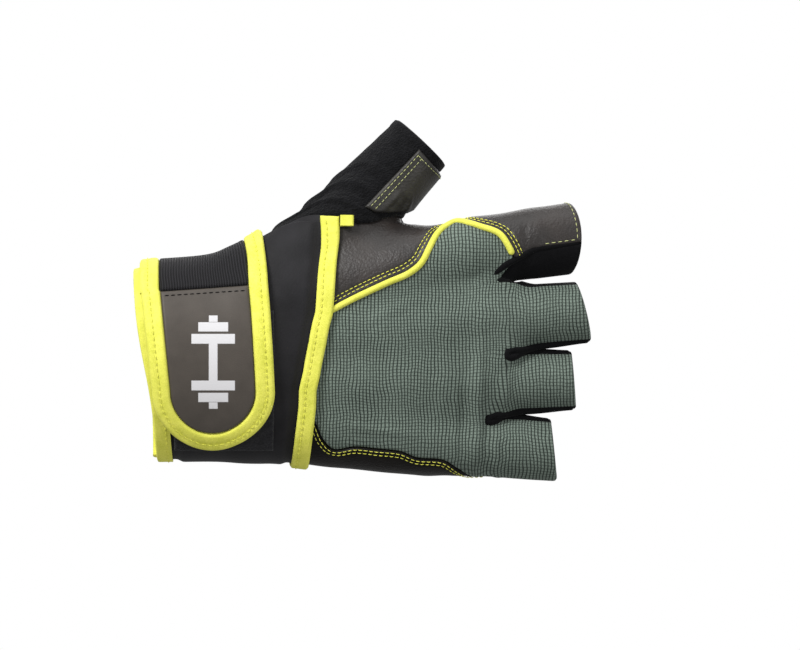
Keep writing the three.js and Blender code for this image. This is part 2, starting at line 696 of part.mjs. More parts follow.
// The cord in the seam between the back and the index leather, clear of the pieces that it ends at
const PIPING_SIDES = 8;
const PIPING_START = 0.75; // where the cord starts within the first cell of its line
const PIPING_END = 0.7; // where it ends within the last cell
function pipingCord() {
  const places = piping.map((point) => point.p.clone().addScaledVector(point.n, PIPING_RADIUS + GAP));
  const count = places.length;
  const path = [...places];
  path[0] = places[0].clone().lerp(places[1], PIPING_START);
  path[count - 1] = places[count - 2].clone().lerp(places[count - 1], PIPING_END);
  const outlines = path.map((place, i) => {
    const ahead = path[Math.min(i + 1, count - 1)].clone().sub(path[Math.max(i - 1, 0)]).normalize();
    const side = piping[i].n.clone().cross(ahead).normalize();
    const up = ahead.clone().cross(side);
    return Array.from({ length: PIPING_SIDES }, (_, k) => {
      const angle = 2 * Math.PI * (k + 0.5) / PIPING_SIDES;
      return place.clone().addScaledVector(side, PIPING_RADIUS * Math.cos(angle))
        .addScaledVector(up, PIPING_RADIUS * Math.sin(angle));
    });
  });
  return loft(outlines, false);
}

// The wrist opening is a slanted cut: along = OPENING_AT + OPENING_SLANT * up, in shares of LENGTH
const OPENING_AT = -0.006;
const OPENING_SLANT = -0.072;
const OPENING_WIDE = 0.36; // half the opening, as a share of BREADTH
const cuffLoop = [...wristSeam, ...thumbSeamCuff.slice(1)];
const cuffCount = cuffLoop.length - 1;

// Rows of the cuff, each at a distance from its opening or from its seams, with its wall there.
// The middle rows share what is left.
const PRESSED = 1.2; // how far the flat of a seam reaches past its tape
const SLOPE = 3; // from the flat of a seam to the full padding
const CUFF_ROWS = [
  { from: 0, wall: SEWN_WALL },
  { from: EDGE_LEG + PRESSED, wall: SEWN_WALL },
  { from: EDGE_LEG + PRESSED + SLOPE, wall: CUFF_WALL },
  { share: 0.25, wall: CUFF_WALL },
  { share: 0.5, wall: CUFF_WALL },
  { share: 0.75, wall: CUFF_WALL },
  { short: TAPE_WIDTH / 2 + PRESSED + SLOPE, wall: CUFF_WALL },
  { short: TAPE_WIDTH / 2 + PRESSED, wall: SEWN_WALL },
  { short: 0, wall: SEWN_WALL },
];

function wristOpening() {
  return cuffLoop.slice(0, cuffCount).map((end) => {
    const turn = turnOf('forearm', end.p, 0);
    const up = OPENING_WIDE * Math.sin(radians(turn));
    return around('forearm', LENGTH * (OPENING_AT + OPENING_SLANT * up), turn);
  });
}
const opening = wristOpening();

function cuffRow({ from, share, short, wall }) {
  const row = opening.map((start, i) => {
    const end = cuffLoop[i];
    if (from === 0 || short === 0) {
      return { ...(short === 0 ? end : start), over: wall };
    }
    const length = start.p.distanceTo(end.p);
    const first = CUFF_ROWS[2].from;
    const final = CUFF_ROWS[CUFF_ROWS.length - 3].short;
    const walked = from ?? (short ? length - short : mix(first, length - final, share));
    const place = start.p.clone().lerp(end.p, walked / length);
    const centre = centreOf('forearm', place.x);
    return { ...cast(centre, place.sub(centre).normalize(), null), over: wall };
  });
  return [...row, row[0]];
}
const cuff = () => new Sheet().add(CUFF_ROWS.map(cuffRow)).trim().wall();

// The folded tape on the wrist opening: away is along the cuff, positive past its edge
function cuffEdgeBinding() {
  const high = SEWN_WALL + GAP;
  const section = [
    { away: -EDGE_LEG, height: high },
    { away: -EDGE_LEG, height: high + EDGE_WALL },
    { away: GAP + EDGE_WALL, height: high + EDGE_WALL },
    { away: GAP + EDGE_WALL, height: -GAP - EDGE_WALL },
    { away: -EDGE_LEG, height: -GAP - EDGE_WALL },
    { away: -EDGE_LEG, height: -GAP },
    { away: GAP, height: -GAP },
    { away: GAP, height: high },
  ];
  const second = cuffRow(CUFF_ROWS[1]);
  const outlines = opening.map((point, i) => {
    const away = point.p.clone().sub(second[i].p).normalize();
    return section.map((corner) => (
      point.p.clone().addScaledVector(away, corner.away).addScaledVector(point.n, corner.height)
    ));
  });
  return loft(outlines, true);
}

// The flat tape over the wrist seam, a little longer than the seam
const TAPE_SPARE = 1.8;
const TAPE_CELLS = 2;
const TAPE_EDGE = 0.5; // a tape's thickness at its edge, as a share of its full thickness
function wristBinding() {
  const path = [...wristSeam];
  const beyond = (end, inner) => {
    const place = end.p.clone().add(end.p.clone().sub(inner.p).setLength(TAPE_SPARE));
    return settle(place);
  };
  path.unshift(beyond(path[0], path[1]));
  path.push(beyond(last(path), path[path.length - 2]));
  const rows = path.map((point, i) => {
    const ahead = path[Math.min(i + 1, path.length - 1)].p.clone().sub(path[Math.max(i - 1, 0)].p);
    const across = ahead.cross(point.n).normalize();
    across.multiplyScalar(Math.sign(across.x));
    return Array.from({ length: TAPE_CELLS + 1 }, (_, k) => {
      const share = 2 * k / TAPE_CELLS - 1;
      const place = point.p.clone().addScaledVector(across, share * TAPE_WIDTH / 2);
      const end = i === 0 || i === path.length - 1;
      const under = (end ? SLEEVE_WALL + GAP : SEWN_WALL) + TAPE_GAP;
      const thick = TAPE_WALL * (Math.abs(share) === 1 ? TAPE_EDGE : 1);
      return { ...settle(place), under, over: under + thick };
    });
  });
  return new Sheet().add(rows).wall();
}

// The loose end of that tape, folded back on itself beside its top end. back is how far its middle lies
// back from the end of the seam, along the tape.
const TAIL = { back: 2, width: 4, sheet: 0.6, space: 0.5 };
function bindingTail() {
  const { back, width, sheet, space } = TAIL;
  const top = 2 * sheet + space;
  const outline = new THREE.Shape();
  outline.moveTo(0, 0);
  outline.lineTo(LOOSE_END - sheet, 0);
  outline.lineTo(LOOSE_END, top / 2);
  outline.lineTo(LOOSE_END - sheet, top);
  outline.lineTo(0, top);
  outline.lineTo(0, sheet + space);
  outline.lineTo(LOOSE_END - 2 * sheet, sheet + space);
  outline.lineTo(LOOSE_END - 2 * sheet, sheet);
  outline.lineTo(0, sheet);
  outline.closePath();
  const fold = new THREE.ExtrudeGeometry(outline, { depth: width, bevelEnabled: false });
  const [end, inner] = wristSeam;
  const inwards = inner.p.clone().sub(end.p).normalize();
  const beside = inwards.clone().cross(end.n).normalize();
  beside.multiplyScalar(Math.sign(beside.x) * (TAPE_WIDTH / 2 + GAP));
  const seat = settle(end.p.clone().addScaledVector(inwards, back).add(beside));
  const out = seat.n.clone();
  const ahead = beside.clone().addScaledVector(out, -beside.dot(out)).normalize();
  const across = ahead.clone().cross(out);
  const place = seat.p.clone().addScaledVector(out, SLEEVE_WALL + 2 * GAP);
  fold.translate(0, 0, -width / 2);
  fold.applyMatrix4(new THREE.Matrix4().makeBasis(ahead, out, across).setPosition(place));
  return fold;
}

// Finds the wrist point that shows at a height above the middle when it is raised off the skin
function wristShowing(x, z, raised) {
  let [low, high] = [-89, 89];
  for (let i = 0; i < HALVINGS; i++) {
    const point = around('forearm', x, (low + high) / 2);
    if (point.p.z + raised * point.n.z < z) {
      low = (low + high) / 2;
    } else {
      high = (low + high) / 2;
    }
  }
  return around('forearm', x, (low + high) / 2);
}

// The strap's tab on the back of the wrist: two straight sides and a round end, in shares
const TAB = {
  left: 0.026, // along, at the seam
  right: 0.231,
  left_up: 0.276,
  right_up: 0.298,
  centre: 0.146, // middle of the round end
  centre_up: -0.1,
  radius: 0.155, // share of BREADTH
};
const TAB_STRAIGHT_ROWS = 4; // rows of the straight part
const TAB_ARC = [24, 46, 66]; // turns of the rows of the round end
const TAB_CELLS = 4;
const LOOP_SEAT = CUFF_WALL + GAP;
const TAB_SEAT = LOOP_SEAT + LOOP_WALL + GAP;
const STRAP_SEAT = CUFF_WALL + STRAP_GAP;

// One row of the tab, out from the middle by its half width, or farther for the tape beside it
function tabSide(row, side, wider) {
  const radius = TAB.radius * BREADTH;
  const centre = { x: TAB.centre * LENGTH, z: TAB.centre_up * BREADTH };
  if (row >= TAB_STRAIGHT_ROWS) {
    const turn = radians([0, ...TAB_ARC][row - TAB_STRAIGHT_ROWS]);
    return {
      x: centre.x + side * (radius + wider) * Math.cos(turn),
      z: centre.z - (radius + wider) * Math.sin(turn),
    };
  }
  const top = side < 0 ? { x: TAB.left, z: TAB.left_up } : { x: TAB.right, z: TAB.right_up };
  return {
    x: mix(top.x * LENGTH, centre.x + side * radius, row / TAB_STRAIGHT_ROWS) + side * wider,
    z: mix(top.z * BREADTH, centre.z, row / TAB_STRAIGHT_ROWS),
  };
}

function tabEnd(share, wider) {
  const turn = radians(mix(180 + last(TAB_ARC), 360 - last(TAB_ARC), share));
  return {
    x: TAB.centre * LENGTH + (TAB.radius * BREADTH + wider) * Math.cos(turn),
    z: TAB.centre_up * BREADTH + (TAB.radius * BREADTH + wider) * Math.sin(turn),
  };
}

const onTab = ({ x, z }) => ({ ...wristShowing(x, z, TAB_SEAT + STRAP_WALL), under: TAB_SEAT });
const tabRowCount = TAB_STRAIGHT_ROWS + TAB_ARC.length + 1;

function tabRow(row) {
  return Array.from({ length: TAB_CELLS + 1 }, (_, k) => {
    if (row === tabRowCount - 1) {
      return onTab(tabEnd(k / TAB_CELLS, 0));
    }
    const [left, right] = [tabSide(row, -1, 0), tabSide(row, 1, 0)];
    return onTab({ x: mix(left.x, right.x, k / TAB_CELLS), z: mix(left.z, right.z, k / TAB_CELLS) });
  });
}
const tabRows = Array.from({ length: tabRowCount }, (_, row) => tabRow(row));

// The strap's edges round the wrist, as shares of LENGTH, swinging with the turn
const STRAP_TURNS = { from: 58, to: 255, cells: 24 };
const STRAP_LEFT = { middle: 0.034, swing: -0.0125 };
const STRAP_RIGHT = { middle: 0.2375, swing: -0.0075 };
// The turns between which the strap comes down from the fastening to the cuff
const STRAP_DOWN = { from: 50, to: 80 };
const strapEdge = ({ middle, swing }, turn) => LENGTH * (middle + swing * Math.sin(radians(turn)));
const strapSeat = (turn) => (
  mix(TAB_SEAT, STRAP_SEAT, THREE.MathUtils.smoothstep(turn, STRAP_DOWN.from, STRAP_DOWN.to))
);

function strapPoint(turn, share, wider) {
  const x = mix(strapEdge(STRAP_LEFT, turn), strapEdge(STRAP_RIGHT, turn), share) + wider;
  return { ...around('forearm', x, turn), under: strapSeat(turn) };
}

const strapTurns = Array.from({ length: STRAP_TURNS.cells + 1 }, (_, i) => (
  mix(STRAP_TURNS.from, STRAP_TURNS.to, i / STRAP_TURNS.cells)
));
const strapRows = strapTurns.map((turn) => (
  Array.from({ length: TAB_CELLS + 1 }, (_, k) => strapPoint(turn, k / TAB_CELLS, 0))
));
mark(tabRows[0], 'tab');

// A band that lies round the wrist, with its own height over its seat. A point that two rows share
// is copied once, so that it keeps its number in the sheet.
function band(rows, thick) {
  const copies = new Map();
  const copy = (point) => {
    if (!copies.has(point)) {
      copies.set(point, { ...point, over: point.under + thick * (point.thin ?? 1) });
    }
    return copies.get(point);
  };
  return new Sheet().add(rows.map((row) => row.map(copy))).trim().wall();
}

// The tape round the strap and its tab, from the sewn end up one side, round the tab and back
function strapTapeRows() {
  const row = (inner, outward) => [
    inner,
    outward(TAPE_WIDTH / 2),
    { ...outward(TAPE_WIDTH), thin: TAPE_EDGE },
  ];
  const strapSide = (side) => strapTurns.map((turn, i) => (
    row(strapRows[i][side < 0 ? 0 : TAB_CELLS], (wider) => strapPoint(turn, side < 0 ? 0 : 1, side * wider))
  ));
  const tabSideRows = (side) => tabRows.slice(0, -1).map((points, i) => (
    row(points[side < 0 ? 0 : TAB_CELLS], (wider) => onTab(tabSide(i, side, wider)))
  ));
  const end = tabRows[tabRowCount - 1].map((point, k) => (
    row(point, (wider) => onTab(tabEnd(k / TAB_CELLS, wider)))
  ));
  return [
    ...strapSide(-1).reverse(),
    ...tabSideRows(-1),
    ...end,
    ...tabSideRows(1).reverse(),
    ...strapSide(1),
  ];
}
tabRows.forEach((row) => mark([row[0], row[TAB_CELLS]], 'tape'));
mark(last(tabRows), 'tape');
strapRows.forEach((row) => mark([row[0], row[TAB_CELLS]], 'tape'));

// The loop side of the fastening, sewn on the cuff under the tab
const LOOP_PATCH = { left: 0.056, right: 0.284, low: -0.315, high: 0.2, rows: 9, cells: 6 };
function loopPatch() {
  const rows = Array.from({ length: LOOP_PATCH.rows + 1 }, (_, i) => (
    Array.from({ length: LOOP_PATCH.cells + 1 }, (__, k) => wristShowing(
      LENGTH * mix(LOOP_PATCH.left, LOOP_PATCH.right, k / LOOP_PATCH.cells),
      BREADTH * mix(LOOP_PATCH.low, LOOP_PATCH.high, i / LOOP_PATCH.rows),
      LOOP_SEAT,
    ))
  ));
  return new Sheet().add(rows).wall(LOOP_SEAT + LOOP_WALL, LOOP_SEAT);
}

const glove = new THREE.Group();
const colours = {
  mesh_fabric: { color: 0x53625c, roughness: 0.9, metalness: 0 },
  leather: { color: 0x2f2d2e, roughness: 0.5, metalness: 0 },
  black_fabric: { color: 0x131314, roughness: 0.95, metalness: 0 },
  terry: { color: 0x151516, roughness: 1, metalness: 0 },
  bright_tape: { color: 0xd7f03a, roughness: 0.8, metalness: 0 },
  padded_fabric: { color: 0x1d1c1f, roughness: 0.85, metalness: 0 },
  elastic: { color: 0x17171a, roughness: 0.9, metalness: 0 },
  smooth_synthetic: { color: 0x4d4a4c, roughness: 0.6, metalness: 0 },
  loop_fabric: { color: 0x2b2a2d, roughness: 1, metalness: 0 },
};

function piece(name, geometry, finish) {
  const mesh = new THREE.Mesh(geometry, new THREE.MeshStandardMaterial(colours[finish]));
  mesh.name = name;
  glove.add(mesh);
}

piece('back_panel', panel(back, BACK_WALL), 'mesh_fabric');
piece('index_panel', panel(index, LEATHER_WALL), 'leather');
piece('palm_panel', panel(palm, PALM_WALL), 'leather');
piece('fourchette_index_middle', fourchette(
  { finger: 'index', back: lips.index_back, palm: lips.index_palm },
  { finger: 'middle', back: lips.middle_back_high, palm: lips.middle_palm_high },
  { back: last(back.strips[0]), palm: last(palm.strips[1]) },
), 'black_fabric');
piece('fourchette_middle_ring', fourchette(
  { finger: 'middle', back: lips.middle_back_low, palm: lips.middle_palm_low },
  { finger: 'ring', back: lips.ring_back_high, palm: lips.ring_palm_high },
  { back: last(back.strips[2]), palm: last(palm.strips[3]) },
), 'black_fabric');
piece('fourchette_ring_little', fourchette(
  { finger: 'ring', back: lips.ring_back_low, palm: lips.ring_palm_low },
  { finger: 'little', back: lips.little_back_high, palm: lips.little_palm_high },
  { back: last(back.strips[4]), palm: last(palm.strips[5]) },
), 'black_fabric');
piece('thumb_sleeve', thumbSleeve(), 'terry');
piece('thumb_patch', thumbPatch(), 'leather');
piece('piping', pipingCord(), 'bright_tape');
piece('cuff', cuff(), 'padded_fabric');
piece('cuff_edge_binding', cuffEdgeBinding(), 'bright_tape');
piece('wrist_binding', wristBinding(), 'bright_tape');
piece('binding_tail', bindingTail(), 'bright_tape');
piece('loop_patch', loopPatch(), 'loop_fabric');
piece('strap', band([tabRows[0], ...strapRows], STRAP_WALL), 'elastic');
piece('strap_tab', band(tabRows, STRAP_WALL), 'smooth_synthetic');
piece('strap_binding', band(strapTapeRows(), BINDING_WALL), 'bright_tape');

export default glove;
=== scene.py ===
# %% [markdown]
# # A weightlifting glove
# This notebook dresses a fingerless training glove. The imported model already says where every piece
# lies, so each piece made here takes the place of one of its solids and keeps its name.
# All shapes come from one idea: a soft hand form, and cloth that lies on it. Lengths are in
# millimetres until a mesh is made, because cloth, thread and leather are thought of in millimetres.

import bpy
import numpy as np
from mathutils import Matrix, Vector


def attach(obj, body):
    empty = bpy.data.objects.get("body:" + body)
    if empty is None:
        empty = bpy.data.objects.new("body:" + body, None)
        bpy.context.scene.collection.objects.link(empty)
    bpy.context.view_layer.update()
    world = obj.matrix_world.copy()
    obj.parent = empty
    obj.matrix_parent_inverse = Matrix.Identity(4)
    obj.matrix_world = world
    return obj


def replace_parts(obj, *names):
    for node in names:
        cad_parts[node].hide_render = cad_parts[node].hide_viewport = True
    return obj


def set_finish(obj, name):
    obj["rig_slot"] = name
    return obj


bpy.ops.wm.read_factory_settings(use_empty=True)
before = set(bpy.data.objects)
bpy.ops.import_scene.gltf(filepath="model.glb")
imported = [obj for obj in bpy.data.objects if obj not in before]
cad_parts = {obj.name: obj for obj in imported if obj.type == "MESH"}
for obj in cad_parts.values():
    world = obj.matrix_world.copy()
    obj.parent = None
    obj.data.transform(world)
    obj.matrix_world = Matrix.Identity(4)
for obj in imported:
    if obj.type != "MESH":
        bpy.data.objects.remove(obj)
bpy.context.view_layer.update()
MM = 0.001  # one millimetre in Blender's metres
print("solids in the frame:", len(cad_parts))

# %% [markdown]
# ## The hand form
# A worn glove has the shape of the hand in it. A hand could be sculpted, but cloth pieces then have to
# be cut out of the sculpture one by one. Here the hand is a formula instead: a few tapered bones that
# melt together. The formula answers how far outside the skin a point is, so a ray can be followed to
# the skin, and any pattern piece can be laid exactly where it belongs.

# %% Sizes and bones of the hand
LENGTH = 160  # from the wrist opening to the middle finger's opening
BREADTH = 100  # across the knuckles
DEPTH = 30  # from the back of the hand to the palm
THUMB_REACH = 50  # from the thumb's root to its opening

# A row is a station of a bone: its place along, out and up, and its half width wide and half depth deep.
# along is a share of LENGTH, up and wide are shares of BREADTH, out and deep are shares of DEPTH.
UNITS = np.array([LENGTH, DEPTH, BREADTH, BREADTH, DEPTH])
BONES = {
    "forearm": [
        (-0.09, 0, -0.02, 0.31, 0.68),
        (0.025, 0, 0.005, 0.336, 0.715),
        (0.19, 0, 0.015, 0.343, 0.715),
    ],
    "little": [
        (0.275, -0.03, -0.17, 0.135, 0.43),
        (0.74, -0.07, -0.29, 0.108, 0.37),
        (0.95, 0, -0.318, 0.1, 0.33),
    ],
    "ring": [
        (0.275, -0.1, -0.05, 0.135, 0.43),
        (0.755, -0.13, -0.064, 0.106, 0.38),
        (0.99, -0.03, -0.056, 0.094, 0.32),
    ],
    "middle": [
        (0.275, -0.1, 0.08, 0.135, 0.43),
        (0.77, -0.165, 0.17, 0.108, 0.385),
        (1.02, -0.065, 0.199, 0.1, 0.34),
    ],
    "index": [
        (0.275, -0.065, 0.2, 0.135, 0.415),
        (0.755, -0.13, 0.42, 0.115, 0.375),
        (1, -0.03, 0.474, 0.12, 0.365),
    ],
    "thumb": [
        (0.26, 0.065, 0.28, 0.13, 0.415),
        (0.413, 0.165, 0.465, 0.132, 0.415),
        (0.524, 0.217, 0.654, 0.118, 0.375),
        (0.631, 0.267, 0.835, 0.104, 0.335),
    ],
    "thumb_ball": [(0.36, 0.3, 0.22, 0.12, 0.4), (0.525, 0.365, 0.38, 0.105, 0.35)],
    "palm_heel": [(0.35, 0.2, -0.18, 0.125, 0.4), (0.64, 0.165, -0.27, 0.105, 0.335)],
    "thumb_web": [(0.49, 0.08, 0.41, 0.07, 0.235), (0.61, 0.05, 0.44, 0.045, 0.2)],
    "hand": [
        (0.41, -0.035, 0.03, 0.34, 0.415),
        (0.675, -0.115, 0.06, 0.36, 0.4),
        (0.86, -0.135, 0.05, 0.34, 0.35),
    ],
}
STATIONS = {bone: np.array(rows) * UNITS for bone, rows in BONES.items()}
MELT = {"wrist": 0.036, "knuckles": 0.016, "from": 0.55, "to": 0.78}
# Where the hand ends between the fingers: up as a share of BREADTH, along as a share of LENGTH
KNUCKLE_EDGE = np.array([(-0.45, 0.765), (-0.2, 0.79), (0.04, 0.835), (0.3, 0.825), (0.6, 0.81)])
print("bones:", ", ".join(BONES))


# %% The skin of the hand form
def mix(a, b, share):
    """The value that lies a share of the way from a to b."""
    return a + (b - a) * share


def ease(value, low, high):
    """0 below low, 1 above high, and an S-shaped cubic between them."""
    t = np.clip((value - low) / (high - low), 0, 1)
    return t * t * (3 - 2 * t)


def unit(vectors):
    """Vectors of length 1 in the same directions."""
    return vectors / np.maximum(np.linalg.norm(vectors, axis=-1, keepdims=True), 1e-12)


def outside_bone(bone, points):
    """Distance to the bone's axis, with depth stretched to the bone's width, less its half width."""
    nearest = np.full(points.shape[:-1], np.inf)
    for low, high in zip(STATIONS[bone][:-1], STATIONS[bone][1:]):
        axis = high[:3] - low[:3]
        share = np.clip((points - low[:3]) @ axis / (axis @ axis), 0, 1)
        wide = mix(low[3], high[3], share)
        away = points - low[:3] - share[..., None] * axis
        away[..., 1] *= wide / mix(low[4], high[4], share)
        nearest = np.minimum(nearest, np.sqrt((away**2).sum(-1)) - wide)
    if bone == "hand":
        edge = LENGTH * np.interp(points[..., 2] / BREADTH, *KNUCKLE_EDGE.T)
        nearest = np.maximum(nearest, points[..., 0] - edge)
    return nearest


def outside(points, bone=None):
    """The smooth minimum of all bones: minus soft times the log of the sum of exp(-distance / soft)."""
    if bone:
        return outside_bone(bone, points)
    share = ease(points[..., 0] / LENGTH, MELT["from"], MELT["to"])
    soft = BREADTH * mix(MELT["wrist"], MELT["knuckles"], share)
    depths = np.stack([outside_bone(name, points) for name in BONES])
    least = depths.min(0)
    return least - soft * np.log(np.exp((least - depths) / soft).sum(0))


def facing_out(points, bone=None):
    """Direction out of the skin: the slope of outside() by differences to both sides along X, Y and Z."""
    tiny = 0.02
    steps = np.eye(3) * tiny
    return unit(np.stack([outside(points + s, bone) - outside(points - s, bone) for s in steps], -1))


def cast(start, direction, bone=None, stride=2.0, halvings=13):
    """Follows rays in even strides until they cross the skin, then halves the last stride again and again."""
    start, direction = np.broadcast_arrays(start, direction)
    shape = start.shape
    start, direction = start.reshape(-1, 3), direction.reshape(-1, 3)
    inside = outside(start, bone) < 0
    far = np.full(len(start), stride)
    going = np.arange(len(start))
    while len(going) and far[going].max() < 2 * LENGTH:
        probe = start[going] + far[going, None] * direction[going]
        going = going[(outside(probe, bone) < 0) == inside[going]]
        far[going] += stride
    near = far - stride
    for _ in range(halvings):
        middle = (near + far) / 2
        same = (outside(start + middle[:, None] * direction, bone) < 0) == inside
        near, far = np.where(same, middle, near), np.where(same, far, middle)
    return (start + far[:, None] * direction).reshape(shape)


def settle(points, slides=6):
    """Slides points that are near the skin onto it, by Newton steps along the slope."""
    points = points.copy()
    for _ in range(slides):
        points -= facing_out(points) * outside(points)[..., None] * 0.9
    return points


# %% Ways to find a place on the skin
def centre_of(bone, x):
    """The point of the bone's axis at x, with its depth and height read off the stations."""
    rows = STATIONS[bone]
    return np.stack([x, np.interp(x, rows[:, 0], rows[:, 1]), np.interp(x, rows[:, 0], rows[:, 2])], -1)


def turn_of(bone, points, hint):
    """Angle about the bone in degrees, 0 at the back of the hand and growing towards the thumb side."""
    away = points - centre_of(bone, points[..., 0])
    return near_turn(np.degrees(np.arctan2(away[..., 2], -away[..., 1])), hint)


def near_turn(turn, hint):
    """The same angle, whole turns added or taken away until it is within half a turn of the hint."""
    return hint + np.mod(turn - hint + 180, 360) - 180


def around(bone, x, turn, alone=None):
    """Rays out of the bone's axis at x, at an angle about it."""
    x, turn = np.broadcast_arrays(np.asarray(x, float), np.radians(turn))
    return cast(centre_of(bone, x), np.stack([0 * turn, -np.cos(turn), np.sin(turn)], -1), alone)


def straight_on(x, z, side):
    """Rays along Y from far outside the back (side -1) or the palm (side 1)."""
    x, z = np.broadcast_arrays(np.asarray(x, float), z)
    return cast(np.stack([x, 0 * x + side * 2 * DEPTH, z], -1), np.array([0.0, -side, 0.0]))


def through(points, count):
    """A smooth line through points, at even steps: cubic stretches whose slope at each point comes from
    its two neighbours, on a scale of the square roots of the distances."""
    points = np.asarray(points, float)
    knots = np.r_[0, np.cumsum(np.sqrt(np.linalg.norm(np.diff(points, axis=0), axis=1)))]
    slopes = np.gradient(points, knots, axis=0)
    fine = np.linspace(0, knots[-1], 40 * len(points))
    k = np.clip(np.searchsorted(knots, fine, side="right") - 1, 0, len(knots) - 2)
    wide = (knots[k + 1] - knots[k])[:, None]
    t = (fine - knots[k])[:, None] / wide
    line = (
        (2 * t**3 - 3 * t**2 + 1) * points[k]
        + (t**3 - 2 * t**2 + t) * wide * slopes[k]
        + (3 * t**2 - 2 * t**3) * points[k + 1]
        + (t**3 - t**2) * wide * slopes[k + 1]
    )
    return evenly(line, count)


def evenly(line, count):
    """The same line with count points at even distances."""
    walked = walk(line)
    steps = np.linspace(0, walked[-1], count)
    return np.stack([np.interp(steps, walked, column) for column in line.T], -1)


def walk(line):
    """Distance walked along a line up to each of its points."""
    return np.r_[0, np.cumsum(np.linalg.norm(np.diff(line, axis=0), axis=1))]


thumb_root, thumb_tip = STATIONS["thumb"][1, :3], STATIONS["thumb"][3, :3]
thumb_axis = unit(thumb_tip - thumb_root)
thumb_inner = unit(np.array([thumb_axis[2], 0, -thumb_axis[0]]))
thumb_back = np.cross(thumb_inner, thumb_axis)


def on_thumb(share, turn):
    """Rays out of the thumb's axis: share is along it, turn about it from its back to the index finger."""
    share, turn = np.broadcast_arrays(np.asarray(share, float), np.radians(turn))
    start = thumb_root + (share * THUMB_REACH)[..., None] * thumb_axis
    return cast(start, np.cos(turn)[..., None] * thumb_back + np.sin(turn)[..., None] * thumb_inner)


print("middle finger reaches", STATIONS["middle"][-1, 0], "mm")

# %% [markdown]
# ## The pattern
# A glove maker cuts flat pieces along lines and sews them together. The same lines are written here,
# as places on the back or the palm, or as turns about a finger. Between two lines lies a
# strip of cloth, worked out as a grid: rows run along the hand and columns across the strip.

# %% Lines of the pattern
SEAM_CELLS = 56  # along the thumb's seam
SIDE_CELLS = 56  # along the seam beside the index finger
HAND_CELLS = SEAM_CELLS + SIDE_CELLS
FINGER_CELLS = 60  # from the knuckles to an opening
CELLS = {"web": 26, "finger": 38, "crotch": 6, "little": 46, "palm_little": 50, "index": 50, "wall": 26}

# Around the thumb's root: turn about the thumb, and reach in hundredths of THUMB_REACH
THUMB_SEAM = through(
    [(-90, -41), (-70, -19), (-57, -3), (-23, 11.6), (14, 21), (33, 30), (48, 40), (62, 45.5), (78, 47.5),
     (92, 47.5), (112, 44), (134, 34), (180, 2), (225, -20), (270, -41)], 300)
FRONT_SEAM_TURN = -23  # where the wrist seam meets the thumb's seam, on the back
WEB_TURN = 92  # the crotch between the thumb and the index finger
PALM_SEAM_TURN = 218  # where the wrist seam meets the thumb's seam, on the palm

# Each row is along, as a share of LENGTH, and up, as a share of BREADTH
LINES = {
    "piping": [(0.402, 0.185), (0.472, 0.246), (0.547, 0.303), (0.598, 0.339), (0.627, 0.375), (0.648, 0.431),
               (0.668, 0.479), (0.698, 0.511), (0.717, 0.519), (0.763, 0.503), (0.808, 0.479), (0.828, 0.439),
               (0.843, 0.391)],
    "back_index_web": [(0.386, 0.08), (0.5, 0.14), (0.63, 0.21), (0.72, 0.26), (0.81, 0.31)],
    "back_middle_low": [(0.374, -0.01), (0.55, 0.02), (0.7, 0.045), (0.824, 0.054)],
    "back_ring_high": [(0.372, -0.03), (0.55, -0.005), (0.7, 0.017), (0.823, 0.024)],
    "back_ring_low": [(0.366, -0.07), (0.55, -0.12), (0.68, -0.165), (0.778, -0.187)],
    "back_little_high": [(0.363, -0.09), (0.55, -0.145), (0.68, -0.195), (0.777, -0.217)],
    "palm_index_low": [(0.345, 0.2), (0.5, 0.25), (0.66, 0.31), (0.8, 0.335)],
    "palm_middle_high": [(0.343, 0.16), (0.5, 0.2), (0.66, 0.25), (0.8, 0.28)],
    "palm_middle_low": [(0.335, 0.03), (0.5, 0.045), (0.66, 0.06), (0.81, 0.06)],
    "palm_ring_high": [(0.334, 0.01), (0.5, 0.02), (0.66, 0.032), (0.81, 0.03)],
    "palm_ring_low": [(0.331, -0.09), (0.5, -0.13), (0.66, -0.168), (0.775, -0.183)],
    "palm_little_high": [(0.33, -0.11), (0.5, -0.155), (0.66, -0.197), (0.774, -0.213)],
}
# The seam between the back and the palm leather: along, and the turn about the little finger's bone
LEATHER_SEAM = [(0.362, 14), (0.383, -7), (0.401, -32), (0.424, -46), (0.474, -36), (0.525, -34), (0.58, -33),
                (0.616, -41), (0.681, -40), (0.717, -63), (0.741, -88), (0.778, -104)]
TURNED_RADIUS = 0.12 * BREADTH  # turns count as walks on a finger about this thick


def thumb_seam(start, end, cells):
    """The thumb's seam between two turns, with each point's reach and turn."""
    turn = np.linspace(start, end, cells + 1)
    reach = np.interp(np.where(turn > 270, turn - 360, turn), *THUMB_SEAM.T) / 100
    return on_thumb(reach, turn), reach, turn


def drawn(name):
    """A line of the pattern, found on the back or on the palm."""
    rows = through(np.array(LINES[name]) * (LENGTH, BREADTH), HAND_CELLS + 1)
    return straight_on(rows[:, 0], rows[:, 1], 1 if name.startswith("palm") else -1)


thumb_lines = {
    "back": thumb_seam(FRONT_SEAM_TURN, WEB_TURN, SEAM_CELLS),
    "palm": thumb_seam(PALM_SEAM_TURN, WEB_TURN, SEAM_CELLS),
    "cuff": thumb_seam(PALM_SEAM_TURN, 360 + FRONT_SEAM_TURN, 2 * SEAM_CELLS),
}
lines = {name: drawn(name) for name in LINES}
walked = [(along * LENGTH, np.radians(turn) * TURNED_RADIUS) for along, turn in LEATHER_SEAM]
walked = through(walked, HAND_CELLS + 1)
lines["leather"] = around("little", walked[:, 0], np.degrees(walked[:, 1] / TURNED_RADIUS))

